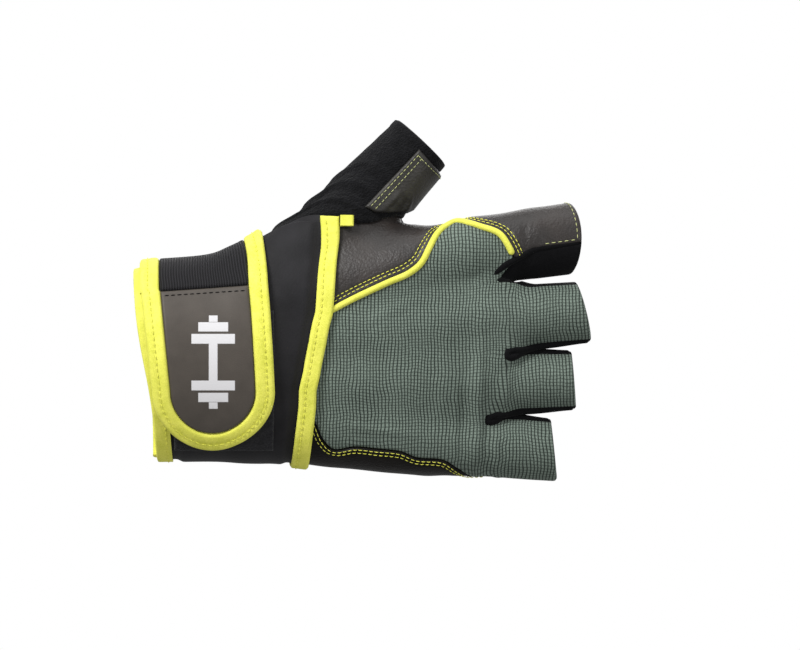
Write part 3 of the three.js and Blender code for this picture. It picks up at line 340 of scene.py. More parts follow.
SIDE_TURN = 104
SIDE_END = 0.838  # along, as a share of LENGTH
web_point = thumb_lines["back"][0][-1]
share = np.linspace(0, 1, SIDE_CELLS + 1)[1:]
side_x = mix(web_point[0], SIDE_END * LENGTH, share)
side_turn = mix(turn_of("index", web_point, SIDE_TURN), SIDE_TURN, ease(share, -0.3, 0.7))
side_seam = around("index", side_x, side_turn)
lines["index_edge"] = np.concatenate([thumb_lines["back"][0], side_seam])
lines["palm_edge"] = np.concatenate([thumb_lines["palm"][0], side_seam])
print("the piping is", round(walk(lines["piping"])[-1]), "mm long")

# %% Strips of cloth on the hand and on the fingers
# Turns about a finger where its walls join, and its opening: share of LENGTH, its swell and its slant
FINGERS = {
    "index": {"opening": 0.972, "swell": 0.026, "slant": 0, "back": (104, -10), "palm": (104, 240)},
    "middle": {"opening": 1.003, "swell": 0.006, "slant": -0.016, "back": (68, -68), "palm": (120, 240)},
    "ring": {"opening": 0.981, "swell": 0, "slant": -0.005, "back": (68, -68), "palm": (120, 240)},
    "little": {"opening": 0.935, "swell": 0, "slant": -0.007, "back": (67, -104), "palm": (-238, -104)},
}


def strip(left, right, cells, bone, hint):
    """Cloth between two lines: along each row the turn about the bone and the place along go evenly from
    one line to the other, and the ends are the lines themselves."""
    left, right = lines[left], lines[right]
    share = np.linspace(0, 1, cells + 1)
    turns = mix(turn_of(bone, left, hint)[:, None], turn_of(bone, right, hint)[:, None], share)
    grid = around(bone, mix(left[:, :1], right[:, :1], share), turns)
    grid[:, 0], grid[:, -1] = left, right
    return grid


def opening_of(finger, turn):
    """Where a finger ends: opening + swell * cos(turn) + slant * sin(turn), in shares of LENGTH."""
    shape = FINGERS[finger]
    angle = np.radians(turn)
    return LENGTH * (shape["opening"] + shape["swell"] * np.cos(angle) + shape["slant"] * np.sin(angle))


def finger_strip(base, turns, finger, hint):
    """Cloth from the row at the knuckles to the finger's opening. It starts as the row lies, and turns and
    shrinks onto the bare finger over the first third of the way."""
    ends = np.linspace(near_turn(turns[0], hint), near_turn(turns[1], hint), len(base))
    starts = turn_of(finger, base, hint)
    step = np.linspace(0, 1, FINGER_CELLS + 1)[:, None]
    turn = mix(starts, ends, ease(step, 0, 0.3))
    x = mix(base[:, 0], opening_of(finger, ends), step)
    bare = around(finger, x, turn, finger)
    return bare + (base - bare[0]) * (1 - ease(step, 0, 0.4))[..., None]


def fourchette(upper, lower, back_edge, palm_edge):
    """The wall between two fingers: down the upper one, round the crotch on a bow from the back's edge to
    the palm's edge, and up the lower one."""
    share = np.linspace(0, 1, CELLS["wall"] + 1)[:, None]
    across = np.linspace(0.25, -0.25, len(back_edge))
    fork = (back_edge[[0, -1], 2] + palm_edge[[0, -1], 2]) / 2
    middle = np.stack([
        np.maximum(back_edge[:, 0], palm_edge[:, 0]) + 0.01 * LENGTH,
        centre_of(upper, back_edge[:, 0])[:, 1],
        fork.mean() + across * (fork[0] - fork[1]),
    ], -1)
    control = 2 * middle - (back_edge + palm_edge) / 2
    bow = (1 - share) ** 2 * back_edge[:, None] + 2 * share * (1 - share) * control[:, None]
    crotch = settle(bow + share**2 * palm_edge[:, None])
    crotch[:, 0], crotch[:, -1] = back_edge, palm_edge
    above = finger_strip(crotch[0], (FINGERS[upper]["back"][1], FINGERS[upper]["palm"][1]), upper, -90)
    below = finger_strip(crotch[-1], (FINGERS[lower]["back"][0], FINGERS[lower]["palm"][0]), lower, 90)
    return np.concatenate([above[::-1], crotch[1:-1], below])


def sew(strips, finger_rows):
    """All grids of one panel: its strips on the hand and, for some of them, the strip along the finger."""
    grids = dict(strips)
    for name, (finger, side, hint) in finger_rows.items():
        grids[name + "_finger"] = finger_strip(strips[name][-1], FINGERS[finger][side], finger, hint)
    return grids


back = sew(
    {
        "web": strip("piping", "back_index_web", CELLS["web"], "index", 0),
        "middle": strip("back_index_web", "back_middle_low", CELLS["finger"], "middle", 0),
        "crotch_middle": strip("back_middle_low", "back_ring_high", CELLS["crotch"], "ring", 0),
        "ring": strip("back_ring_high", "back_ring_low", CELLS["finger"], "ring", 0),
        "crotch_ring": strip("back_ring_low", "back_little_high", CELLS["crotch"], "ring", 0),
        "little": strip("back_little_high", "leather", CELLS["little"], "little", 0),
    },
    {"middle": ("middle", "back", 0), "ring": ("ring", "back", 0), "little": ("little", "back", 0)},
)
index = sew(
    {"index": strip("index_edge", "piping", CELLS["index"], "index", 0)},
    {"index": ("index", "back", 0)},
)
palm = sew(
    {
        "index": strip("palm_edge", "palm_index_low", CELLS["index"], "index", 180),
        "web": strip("palm_index_low", "palm_middle_high", CELLS["web"], "index", 180),
        "middle": strip("palm_middle_high", "palm_middle_low", CELLS["finger"], "middle", 180),
        "crotch_middle": strip("palm_middle_low", "palm_ring_high", CELLS["crotch"], "ring", 180),
        "ring": strip("palm_ring_high", "palm_ring_low", CELLS["finger"], "ring", 180),
        "crotch_ring": strip("palm_ring_low", "palm_little_high", CELLS["crotch"], "ring", 180),
        "little": strip("palm_little_high", "leather", CELLS["palm_little"], "little", -100),
    },
    {"index": ("index", "palm", 180), "middle": ("middle", "palm", 180), "ring": ("ring", "palm", 180),
     "little": ("little", "palm", -180)},
)
# Which strips of the back and the palm end at each wall between two fingers
FORKS = {("index", "middle"): "web", ("middle", "ring"): "crotch_middle", ("ring", "little"): "crotch_ring"}
walls = {
    f"fourchette_{upper}_{lower}": fourchette(upper, lower, back[strip_name][-1], palm[strip_name][-1])
    for (upper, lower), strip_name in FORKS.items()
}
print("points on the back:", sum(grid.size // 3 for grid in back.values()))

# %% The thumb's sleeve and patch
thumb_loop = [
    np.concatenate([back_line[:-1], palm_line[::-1][:-1], cuff_line])
    for back_line, palm_line, cuff_line in zip(*(thumb_lines[name] for name in ("back", "palm", "cuff")))
]
SLEEVE_CELLS = 90
step = np.linspace(0, 1, SLEEVE_CELLS + 1)[:, None]
sleeve = on_thumb(mix(thumb_loop[1][::2], 1, step), thumb_loop[2][::2])
# The patch: turn about the thumb, and how low and high it reaches, in shares of THUMB_REACH
PATCH = np.array([
    (6, 0.34, 0.93), (24, 0.36, 0.925), (45, 0.45, 0.92), (68, 0.54, 0.92),
    (92, 0.58, 0.92), (116, 0.53, 0.92), (140, 0.42, 0.92),
])
turn = np.linspace(PATCH[0, 0], PATCH[-1, 0], 71)[:, None]
share = np.linspace(0, 1, 61)
low, high = (np.interp(turn, PATCH[:, 0], PATCH[:, k]) for k in (1, 2))
patch = on_thumb(mix(low, high, share), turn)

# %% The cuff and the seam that it hangs from
front_rows = [index["index"][0]] + [back[name][0] for name in back if not name.endswith("_finger")]
palm_rows = [palm[name][0][::-1] for name in reversed(palm) if not name.endswith("_finger")]
wrist_seam = evenly(np.concatenate([row[1:] for row in front_rows + palm_rows]), 260)
cuff_seam = np.concatenate([wrist_seam, thumb_lines["cuff"][0][1:]])
cuff_seam = evenly(np.concatenate([cuff_seam, wrist_seam[:1]]), 321)
CUFF_CELLS = 84
OPENING = {"at": -0.006, "slant": -0.072, "wide": 0.36}  # the slanted cut at the wrist, in shares


def wrist_opening(turn):
    """The slanted cut: along = at + slant * wide * sin(turn), in shares of LENGTH."""
    along = OPENING["at"] + OPENING["slant"] * OPENING["wide"] * np.sin(np.radians(turn))
    return around("forearm", LENGTH * along, turn)


cuff_turn = turn_of("forearm", cuff_seam, 0)
cuff_edge = wrist_opening(cuff_turn)
place = mix(cuff_edge, cuff_seam, np.linspace(0, 1, CUFF_CELLS + 1)[:, None, None])
middle = centre_of("forearm", place[..., 0])
cuff = cast(middle, unit(place - middle))
cuff[0], cuff[-1] = cuff_edge, cuff_seam
print("round the wrist seam:", round(walk(wrist_seam)[-1]), "mm")

# %% The strap and its tab
TAB = {"left": 0.026, "right": 0.231, "left_up": 0.276, "right_up": 0.298, "centre": 0.146, "centre_up": -0.1,
       "radius": 0.155}
TAPE_WIDTH = 6.6
CUFF_WALL, SEWN_WALL, LOOP_WALL, STRAP_WALL, BINDING_WALL, TAPE_WALL = 3, 2, 1, 1.6, 2, 1.4
GAP, TAPE_GAP, STRAP_GAP = 0.3, 0.5, 0.8
LOOP_SEAT = CUFF_WALL + GAP
TAB_SEAT = LOOP_SEAT + LOOP_WALL + GAP
STRAP_SEAT = CUFF_WALL + STRAP_GAP
STRAP_LAST_TURN = 255
STRAP_COLUMNS = 113
TAB_STRAIGHT = 0.6  # the share of a side of the tab that is straight
TAB_CORNER = 66  # turn of the round end up to which the tab's rows end on its sides
TAB_MIDDLE = np.array([TAB["centre"] * LENGTH, TAB["centre_up"] * BREADTH])
TAB_RADIUS = TAB["radius"] * BREADTH


def wrist_showing(x, z, raised):
    """The turn about the wrist at which a point raised off the skin shows at x and z, found by halving."""
    x, z = np.broadcast_arrays(x, z)
    low, high = np.full(x.shape, -89.0), np.full(x.shape, 89.0)
    for _ in range(14):
        turn = (low + high) / 2
        skin = around("forearm", x, turn)
        below = skin[..., 2] + raised * facing_out(skin)[..., 2] < z
        low, high = np.where(below, turn, low), np.where(below, high, turn)
    return around("forearm", x, (low + high) / 2)


def rounding(t):
    """0 on the straight part of the tab's side, rising to 1 at its corner."""
    return np.clip((t - TAB_STRAIGHT) / (1 - TAB_STRAIGHT), 0, 1)


def tab_side(t, side, wider):
    """x and z of the tab's left or right side: straight up to TAB_STRAIGHT, then round to TAB_CORNER."""
    end = "left" if side < 0 else "right"
    top = np.array([TAB[end] * LENGTH, TAB[end + "_up"] * BREADTH])
    foot = TAB_MIDDLE + (side * TAB_RADIUS, 0)
    straight = mix(top, foot, np.minimum(t / TAB_STRAIGHT, 1)[..., None])
    straight = straight + np.stack([side * wider, 0 * wider], -1)
    angle = np.radians(TAB_CORNER * rounding(t))
    radius = TAB_RADIUS + wider
    bow = TAB_MIDDLE + np.stack([side * radius * np.cos(angle), -radius * np.sin(angle)], -1)
    return np.where((t > TAB_STRAIGHT)[..., None], bow, straight)


def tab_end(share, wider):
    """x and z of the tab's round end, from its left corner to its right one."""
    angle = np.radians(mix(180 + TAB_CORNER, 360 - TAB_CORNER, share))
    return TAB_MIDDLE + (TAB_RADIUS + wider)[..., None] * np.stack([np.cos(angle), np.sin(angle)], -1)


t = np.linspace(0, 1, 91)[:, None]
share = np.linspace(0, 1, 61)
sides = [tab_side(t, side, 0 * t) for side in (-1, 1)]
flat = mix(sides[0], sides[1], share[:, None])
bulge = tab_end(share, 0 * share) - flat[-1]
flat += bulge * (rounding(t)[..., None] ** 2)
tab_raised = TAB_SEAT + STRAP_WALL
tab = wrist_showing(flat[..., 0], flat[..., 1], tab_raised)


def strap_x(turn, share):
    """Place along of a share across the strap, whose edges swing a little with the turn."""
    swing = np.sin(np.radians(turn))
    return LENGTH * mix(0.034 - 0.0125 * swing, 0.2375 - 0.0075 * swing, share)


def strap_seat(turn):
    """Height of the strap over the skin: over the fastening near the tab, then down on the cuff."""
    return mix(TAB_SEAT, STRAP_SEAT, ease(turn, 50, 80))


top_turn = turn_of("forearm", tab[0], 0)
down = np.linspace(0, 1, 181)[:, None]
tab_share, share = np.linspace(0, 1, len(top_turn)), np.linspace(0, 1, STRAP_COLUMNS)
strap_turn = mix(np.interp(share, tab_share, top_turn), STRAP_LAST_TURN, down)
top_x = np.interp(share, tab_share, tab[0][:, 0])
strap = around("forearm", mix(top_x, strap_x(strap_turn, share), ease(down, 0, 0.06)), strap_turn)

tape_share = np.linspace(0, 1, 13)
wide = tape_share * TAPE_WIDTH
edge_turns = {side: np.linspace(58, STRAP_LAST_TURN, 150)[:, None] for side in (-1, 1)}


def tape_rows(side):
    """The tape beside one edge of the strap and of the tab, from the strap's far end to the tab's corner."""
    turn = edge_turns[side]
    x = strap_x(turn, 0 if side < 0 else 1) + side * wide
    on_strap = around("forearm", x, turn)
    t = np.linspace(0, 1, 81)[:, None]
    where = tab_side(t + 0 * wide, side, wide + 0 * t)
    on_tab = wrist_showing(where[..., 0], where[..., 1], tab_raised)
    seat = np.concatenate([(strap_seat(turn) + 0 * wide)[::-1], TAB_SEAT + 0 * on_tab[..., 0]])
    return np.concatenate([on_strap[::-1], on_tab]), seat


left_tape, left_seat = tape_rows(-1)
right_tape, right_seat = tape_rows(1)
share = np.linspace(0, 1, 31)[:, None]
where = tab_end(share + 0 * wide, wide + 0 * share)
end_tape = wrist_showing(where[..., 0], where[..., 1], tab_raised)
strap_tape = np.concatenate([left_tape, end_tape[1:-1], right_tape[::-1]])
strap_tape_seat = np.concatenate([left_seat, TAB_SEAT + 0 * end_tape[1:-1, :, 0], right_seat[::-1]])

LOOP_PATCH = {"left": 0.056, "right": 0.284, "low": -0.315, "high": 0.2}
loop_patch = wrist_showing(
    LENGTH * np.linspace(LOOP_PATCH["left"], LOOP_PATCH["right"], 71),
    BREADTH * np.linspace(LOOP_PATCH["low"], LOOP_PATCH["high"], 91)[:, None], LOOP_SEAT)
print("the strap's tape is", round(walk(strap_tape[:, 6])[-1]), "mm long")

# %% The tape over the wrist seam
TAPE_SPARE = 1.8
ends = [settle(end + unit(end - inner) * TAPE_SPARE) for end, inner in
        ((wrist_seam[:1], wrist_seam[1:2]), (wrist_seam[-1:], wrist_seam[-2:-1]))]
tape_path = evenly(np.concatenate([ends[0], wrist_seam, ends[1]]), 381)
tape_ahead = unit(np.gradient(tape_path, axis=0))
tape_across = np.cross(tape_ahead, facing_out(tape_path))
tape_across *= np.sign(tape_across[:, :1])
tape_offset = np.linspace(-0.5, 0.5, 13) * TAPE_WIDTH
wrist_tape = settle(tape_path[:, None] + tape_offset[:, None] * tape_across[:, None])
tape_distance = walk(tape_path)
near_end = np.minimum(tape_distance, tape_distance[-1] - tape_distance)
SLEEVE_WALL = 2
wrist_tape_seat = mix(SLEEVE_WALL + GAP, SEWN_WALL, ease(near_end, 0, 4))[:, None]
wrist_tape_seat = wrist_tape_seat + TAPE_GAP + 0 * tape_offset
print("the wrist's tape is", round(tape_distance[-1]), "mm long")

# %% [markdown]
# ## Walls
# A piece of cloth is a surface twice over: its upper side lies a little above the skin, its lower side
# below it, and a narrow wall joins them along the rim. Real cloth is never sharp there: it rolls down
# into its seams, so the height of the upper side falls on a quarter circle towards the rim.

# %% Surfaces made of grids
def near(points, start, end):
    """Distance from points to the nearest of many straight stretches, and which share of that one."""
    flat = points.reshape(-1, 3)
    step = end - start
    squared = np.maximum((step**2).sum(1), 1e-12)
    away, which, share = np.empty(len(flat)), np.empty(len(flat), int), np.empty(len(flat))
    for low in range(0, len(flat), 2000):
        some = slice(low, low + 2000)
        offset = flat[some, None] - start
        along = np.clip((offset * step).sum(-1) / squared, 0, 1)
        distance = np.linalg.norm(offset - along[..., None] * step, axis=-1)
        best = distance.argmin(1)
        row = np.arange(len(best))
        away[some], which[some], share[some] = distance[row, best], best, along[row, best]
    return (value.reshape(points.shape[:-1]) for value in (away, which, share))


def beside(points, line):
    """Distance from points to a line, and how far along the line the nearest place is."""
    away, which, share = near(points, line[:-1], line[1:])
    walked = walk(line)
    return away, mix(walked[which], walked[which + 1], share)


def rolled(distance, radius):
    """Quarter circle: 0 at a rim, rising to 1 at radius from it, as the square root of 1 - (1 - d / r)**2."""
    return np.sqrt(1 - (1 - np.clip(distance / radius, 0, 1)) ** 2)


def bump(value, middle, half):
    """A smooth hump of height 1: (1 - t**2)**2 for t = (value - middle) / half between -1 and 1."""
    t = np.clip((value - middle) / half, -1, 1)
    return (1 - t * t) ** 2


def wavy(points, size, seed, turns=5):
    """A soft random field between about -1 and 1: the mean of sines along random directions."""
    random = np.random.default_rng(seed)
    directions = unit(random.normal(size=(turns * 3, 3)))
    phases = random.uniform(0, 2 * np.pi, len(directions))
    pace = 2 * np.pi / size * random.uniform(0.6, 1.5, len(directions))
    return np.sin((points @ directions.T) * pace + phases).sum(-1) / np.sqrt(len(directions))


def join(grids):
    """Grids that share lines, as one surface: its points, its faces and each kept point's number."""
    points = np.concatenate([grid.reshape(-1, 3) for grid in grids])
    faces, start = [], 0
    for grid in grids:
        rows, columns = grid.shape[:2]
        number = start + np.arange(rows * columns).reshape(rows, columns)
        faces.append(np.stack([number[:-1, :-1], number[1:, :-1], number[1:, 1:], number[:-1, 1:]], -1))
        start += rows * columns
    _, kept, same = np.unique(np.round(points, 4), axis=0, return_index=True, return_inverse=True)
    faces = same.ravel()[np.concatenate([face.reshape(-1, 4) for face in faces])]
    return points[kept], faces, kept


def rim_of(faces):
    """Directed edges of the faces that no other face runs along the other way."""
    edges = np.concatenate([faces[:, [k, (k + 1) % 4]] for k in range(4)])
    edges = edges[edges[:, 0] != edges[:, 1]]
    key = edges[:, 0] * (faces.max() + 1) + edges[:, 1]
    reverse = edges[:, 1] * (faces.max() + 1) + edges[:, 0]
    return edges[~np.isin(key, reverse)]


def patterned(grids):
    """Where each point lies on the flat cloth, in mm: along, walked down its column, and across, walked
    over from the first column. A list of grids side by side goes on counting from grid to grid."""
    places, across = [], 0
    for grid in grids:
        down = np.linalg.norm(np.diff(grid, axis=0, prepend=grid[:1]), axis=-1).cumsum(0)
        over = np.linalg.norm(np.diff(grid, axis=1, prepend=grid[:, :1]), axis=-1).cumsum(1)
        places.append(np.stack([grid[:1, :, 0] + down, across + over], -1))
        across = places[-1][:, -1:, 1]
    return places


def relax(values, faces, weight, rounds):
    """Moves each value towards the mean of its neighbours along the faces' edges, again and again."""
    edges = np.concatenate([faces[:, [k, (k + 1) % 4]] for k in range(4)])
    here, there = np.concatenate([edges, edges[:, ::-1]]).T
    count = np.bincount(here, minlength=len(values))[:, None]
    for _ in range(rounds):
        total = np.stack([np.bincount(here, column[there], len(values)) for column in values.T], -1)
        values = mix(values, total / count, weight[:, None])
    return values


KNUCKLE_HALF = 12  # how far the smoothing reaches to both sides of the knuckles
STRONG, WEAK = 0.9, 0.5  # how far a value moves towards its neighbours in one round


class Surface:
    """A cloth surface: its points on the skin, the directions out of it, its faces and its rim. At the
    knuckles, where the fingers leave the hand, the cloth is smoothed out as a stretched cloth is."""

    def __init__(self, grids, weave=None):
        self.points, self.faces, self.kept = join(grids)
        self.rim = rim_of(self.faces)
        knuckle = LENGTH * np.interp(self.points[:, 2] / BREADTH, *KNUCKLE_EDGE.T)
        weight = STRONG * bump(self.points[:, 0], knuckle, KNUCKLE_HALF)
        weight[np.unique(self.rim)] = 0
        self.points = relax(self.points, self.faces, weight, 60)
        turning = np.where(weight > 0, STRONG, WEAK)
        self.out = unit(relax(facing_out(self.points), self.faces, turning, 12))
        self.weave = np.concatenate([w.reshape(-1, 2) for w in weave or patterned(grids)])[self.kept]
        self.edge = self.from_edge(self.points)

    def from_edge(self, points):
        """Distance from points to the surface's rim."""
        away, _, _ = near(points, self.points[self.rim[:, 0]], self.points[self.rim[:, 1]])
        return away

    def keep(self, values):
        """Values given grid by grid, as values of the surface's own points."""
        return np.concatenate([value.ravel() for value in values])[self.kept]


def mesh_piece(name, points, faces, slot, weave=None, sharp=55):
    """A piece of the scene from points in millimetres. It rides on the one body and takes a slot's finish."""
    mesh = bpy.data.meshes.new(name)
    folded = (faces == np.roll(faces, -1, axis=1)).any(1)
    odd = [list(dict.fromkeys(face)) for face in faces[folded].tolist()]
    mesh.from_pydata(points * MM, [], faces[~folded].tolist() + [face for face in odd if len(face) == 3])
    if weave is not None:
        attribute = mesh.attributes.new("weave", "FLOAT2", "POINT")
        attribute.data.foreach_set("vector", weave.astype(np.float32).ravel())
    mesh.shade_smooth()
    mesh.set_sharp_from_angle(angle=np.radians(sharp))
    thing = bpy.data.objects.new(name, mesh)
    scene.collection.objects.link(thing)
    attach(thing, "root")
    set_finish(thing, slot)
    made[name] = thing
    return thing


def cloth(name, surface, high, low, slot):
    """A closed wall between two heights over the skin. It stands for the solid of the same name."""
    count = len(surface.points)
    heights = [np.broadcast_to(height, count)[:, None] for height in (high, low)]
    points = np.concatenate([surface.points + surface.out * height for height in heights])
    a, b, c, d = surface.faces.T
    across = np.cross(surface.points[c] - surface.points[a], surface.points[d] - surface.points[b])
    upper = surface.faces if (across * surface.out[a]).sum() > 0 else surface.faces[:, ::-1]
    start, end = rim_of(upper).T
    wall = np.stack([end, start, start + count, end + count], -1)
    faces = np.concatenate([upper, upper[:, ::-1] + count, wall])
    thing = mesh_piece(name, points, faces, slot, np.tile(surface.weave, (2, 1)))
    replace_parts(thing, name)
    return thing


made = {}
scene = bpy.context.scene
print("walls can be made")


# %% Threads and cords
def sweep(path, section, closed=False):
    """Faces and points of a section carried along a path. section has one ring of points for each point of
    the path; a path that isn't closed gets two flat ends, each a fan round its middle."""
    count, sides = section.shape[:2]
    number = np.arange(count * sides).reshape(count, sides)
    ring = np.roll(number, -1, axis=1)
    a, b = (number, ring) if closed else (number[:-1], ring[:-1])
    c, d = (np.roll(ring, -1, 0), np.roll(number, -1, 0)) if closed else (ring[1:], number[1:])
    faces = np.stack([a, b, c, d], -1).reshape(-1, 4)
    points = section.reshape(-1, 3)
    if not closed:
        points = np.concatenate([points, path[[0, -1]]])
        first, last = count * sides, count * sides + 1
        fans = [np.stack([ring[0], number[0], number[0] * 0 + first, number[0] * 0 + first], -1),
                np.stack([number[-1], ring[-1], number[0] * 0 + last, number[0] * 0 + last], -1)]
        faces = np.concatenate([faces, *fans])
    return points, faces


def cord(path, out, radius, sides=14):
    """Points and faces of a round cord along a path, whose ends narrow like a half ball. The radius may
    change along it."""
    radius = np.broadcast_to(radius, len(path))
    ahead = unit(np.gradient(path, axis=0))
    across = unit(np.cross(ahead, out))
    up = np.cross(across, ahead)
    walked = walk(path)
    end = rolled(np.minimum(walked, walked[-1] - walked), radius)
    wide = radius * np.maximum(end, 0.15)
    angle = np.linspace(0, 2 * np.pi, sides, endpoint=False)
    ring = np.cos(angle)[:, None] * across[:, None] + np.sin(angle)[:, None] * up[:, None]
    return sweep(path, path[:, None] + ring * wide[:, None, None])


RINGS, THREAD_SIDES = 6, 6


def threads(middle, ahead, out, long, radius, lift):
    """Many stitches at once. Each is a thread that comes up out of the cloth, arches over and goes down
    again: along it the height is lift * sqrt(1 - t**2), less a little that stays in the cloth."""
    ahead = unit(ahead - (ahead * out).sum(-1, keepdims=True) * out)
    across = np.cross(ahead, out)
    t = np.linspace(-1, 1, RINGS)
    rise = lift * (np.sqrt(np.maximum(1 - t * t, 0)) - 0.35)
    spine = middle[:, None] + ahead[:, None] * (t * long / 2)[:, None] + out[:, None] * rise[:, None]
    angle = np.linspace(0, 2 * np.pi, THREAD_SIDES, endpoint=False)
    around_it = np.cos(angle)[:, None] * across[:, None] + np.sin(angle)[:, None] * out[:, None]
    wide = radius * np.sqrt(1 - 0.75 * t**2)
    points = spine[:, :, None] + around_it[:, None] * wide[None, :, None, None]
    number = np.arange(points.size // 3).reshape(points.shape[:3])
    ring = np.roll(number, -1, axis=2)
    sides = np.stack([number[:, :-1], ring[:, :-1], ring[:, 1:], number[:, 1:]], -1).reshape(-1, 4)
    ends = []
    for cap, order in ((number[:, 0], -1), (number[:, -1], 1)):
        quads = np.stack([cap[:, [0, 1, 2, 3]], cap[:, [0, 3, 4, 5]]], 1)[..., ::order]
        ends.append(quads.reshape(-1, 4))
    return points.reshape(-1, 3), np.concatenate([sides, *ends])


def stitches(name, rows, slot="bright_tape", pitch=2.0, long=1.5, radius=0.16, lift=0.22):
    """Stitches along rows, each of which is a line and the directions out of the cloth along it."""
    middles, aheads, outs = [], [], []
    for line, out in rows:
        walked = walk(line)
        count = max(int(walked[-1] / pitch), 1)
        place = (np.arange(count) + 0.5) * walked[-1] / count
        slope = unit(np.gradient(line, walked, axis=0))
        for found, values in ((middles, line), (aheads, slope), (outs, out)):
            found.append(np.stack([np.interp(place, walked, column) for column in values.T], -1))
    middle, ahead, out = (np.concatenate(values) for values in (middles, aheads, outs))
    points, faces = threads(middle, ahead, unit(out), long, radius, lift)
    return mesh_piece(name, points, faces, slot, sharp=80)


def aside(line, distance, side):
    """A line moved over the skin by a distance, square to itself, to its right (side 1) or left (side -1)."""
    across = unit(np.cross(np.gradient(line, axis=0), facing_out(line)))
    return settle(line + side * across * distance)


def lying_on(surface, height, line):
    """A line lifted onto the upper side of a surface, and the directions out of it along the line."""
    out = facing_out(line)
    return line + out * height(line, surface.from_edge(line))[:, None], out


# %% [markdown]
# ## The glove's pieces
# Each panel's height over the skin is a short formula: its thickness, the roll into its seams, the
# puckers that the stitches pull, and a few folds from a table.

# %% Heights of the panels
BACK_WALL, LEATHER_WALL, PALM_WALL, WEB_WALL, PATCH_WALL = 1.5, 1.5, 2, 1.2, 1.2
# Folds of the back: from (x, z) to (x, z), half the width, and the height (a valley's is negative)
BACK_FOLDS = [
    (122, 14, 120.5, -42, 3.6, 1.9),
    (116.5, 4, 115, -40, 3, -1.1),
    (127, 0, 128, -24, 2.6, -0.6),
    (131, -3, 132, -14, 2.4, 0.6),
    (110.5, 16, 107, -26, 4, 0.6),
    (127.5, -24, 129, -42, 2.4, 0.8),
    (70, -22, 100, -26, 2.5, 0.5),
    (76, 14, 104, 26, 3, 0.45),
    (128, 26, 134, 8, 3, 0.6),
]
INDEX_FOLDS = [
    (97, 47, 100, 51, 2.5, -0.3),
    (111, 53, 128, 51, 3, 0.2),
    (138, 35, 139, 54, 2.2, -0.35),
    (143, 36, 144, 55, 2.6, 0.25),
]


def folds(points, table):
    """Humps along straight lines in x and z: height * (1 - (d / half)**2)**2, fading at the ends."""
    total = np.zeros(points.shape[:-1])
    for x0, z0, x1, z1, half, height in table:
        start, step = np.array([x0, z0]), np.array([x1 - x0, z1 - z0])
        offset = points[..., [0, 2]] - start
        along = offset @ step / (step @ step)
        away = np.abs(offset @ np.array([-step[1], step[0]])) / np.linalg.norm(step)
        total += height * bump(away, 0, half) * bump(along, 0.5, 0.62)
    return total


def puckers(points, line, middle, half, depth, pitch):
    """The valley that a row of stitches pulls beside a line, deeper at each stitch."""
    away, along = beside(points, line)
    return -depth * bump(away, middle, half) * (0.7 + 0.3 * np.cos(2 * np.pi * along / pitch))


def panel_weave(grids):
    """The weave lies straight on the hand: along is x and across is z. On a finger the threads turn with it,
    and across is walked round it from its middle."""
    weave = []
    for name, grid in grids.items():
        along, across = grid[..., 0], grid[..., 2]
        if name.endswith("_finger"):
            middle = grid.shape[1] // 2
            share = ease(np.linspace(0, 1, len(grid))[:, None], 0, 0.35)
            lean = (grid[-1, middle] - grid[0, middle])[[2, 0]]
            walked = patterned([grid])[0][..., 1]
            walked = (walked - walked[:, middle : middle + 1]) * np.sign(across[0, -1] - across[0, 0])
            along = along + lean[0] / lean[1] * (across - across[:, middle : middle + 1]) * share
            across = mix(across, across[0, middle] + walked, share)
        weave.append(np.stack([along, across], -1))
    return weave


ROW_1, ROW_2 = 2.4, 3.6  # two rows of stitches beside the piping
SEAM_1, SEAM_2 = 0.75, 2.0  # two rows beside the seam with the palm's leather
STITCH = 2.0


def soft(surface_edge, wall, radius, left):
    """Height of a wall that rolls down to a share left at its rim."""
    return wall * mix(left, 1, rolled(surface_edge, radius))


def back_height(points, edge):
    """The back's cloth: its folds, and soft waves that fade at its seams."""
    height = soft(edge, BACK_WALL, 1.5, 0.3) + folds(points, BACK_FOLDS)
    return height + 0.12 * wavy(points, 26, 3) * rolled(edge, 6)


def index_height(points, edge):
    """The index finger's leather, pulled down by the stitches beside the piping."""
    height = soft(edge, LEATHER_WALL, 1.3, 0.35) + folds(points, INDEX_FOLDS)
    height += puckers(points, lines["piping"], (ROW_1 + ROW_2) / 2, 1.6, 0.35, STITCH)
    return height + 0.1 * wavy(points, 18, 5) * rolled(edge, 5)


def palm_height(points, edge):
    """The palm's leather, pulled down by the stitches beside the back's cloth."""
    height = soft(edge, PALM_WALL, 0.8, 0.45)
    height += puckers(points, lines["leather"], (SEAM_1 + SEAM_2) / 2, 1.5, 0.35, STITCH)
    return height + 0.15 * wavy(points, 22, 7) * rolled(edge, 6)


# %% Back, leather and palm
def panel(name, grids, height, slot):
    """A panel of the glove: its surface and its piece."""
    surface = Surface(grids.values(), panel_weave(grids))
    return surface, cloth(name, surface, height(surface.points, surface.edge), 0, slot)


_, back_piece = panel("back_panel", back, back_height, "mesh_fabric")
index_surface, _ = panel("index_panel", index, index_height, "leather")
palm_surface, palm_piece = panel("palm_panel", palm, palm_height, "leather")
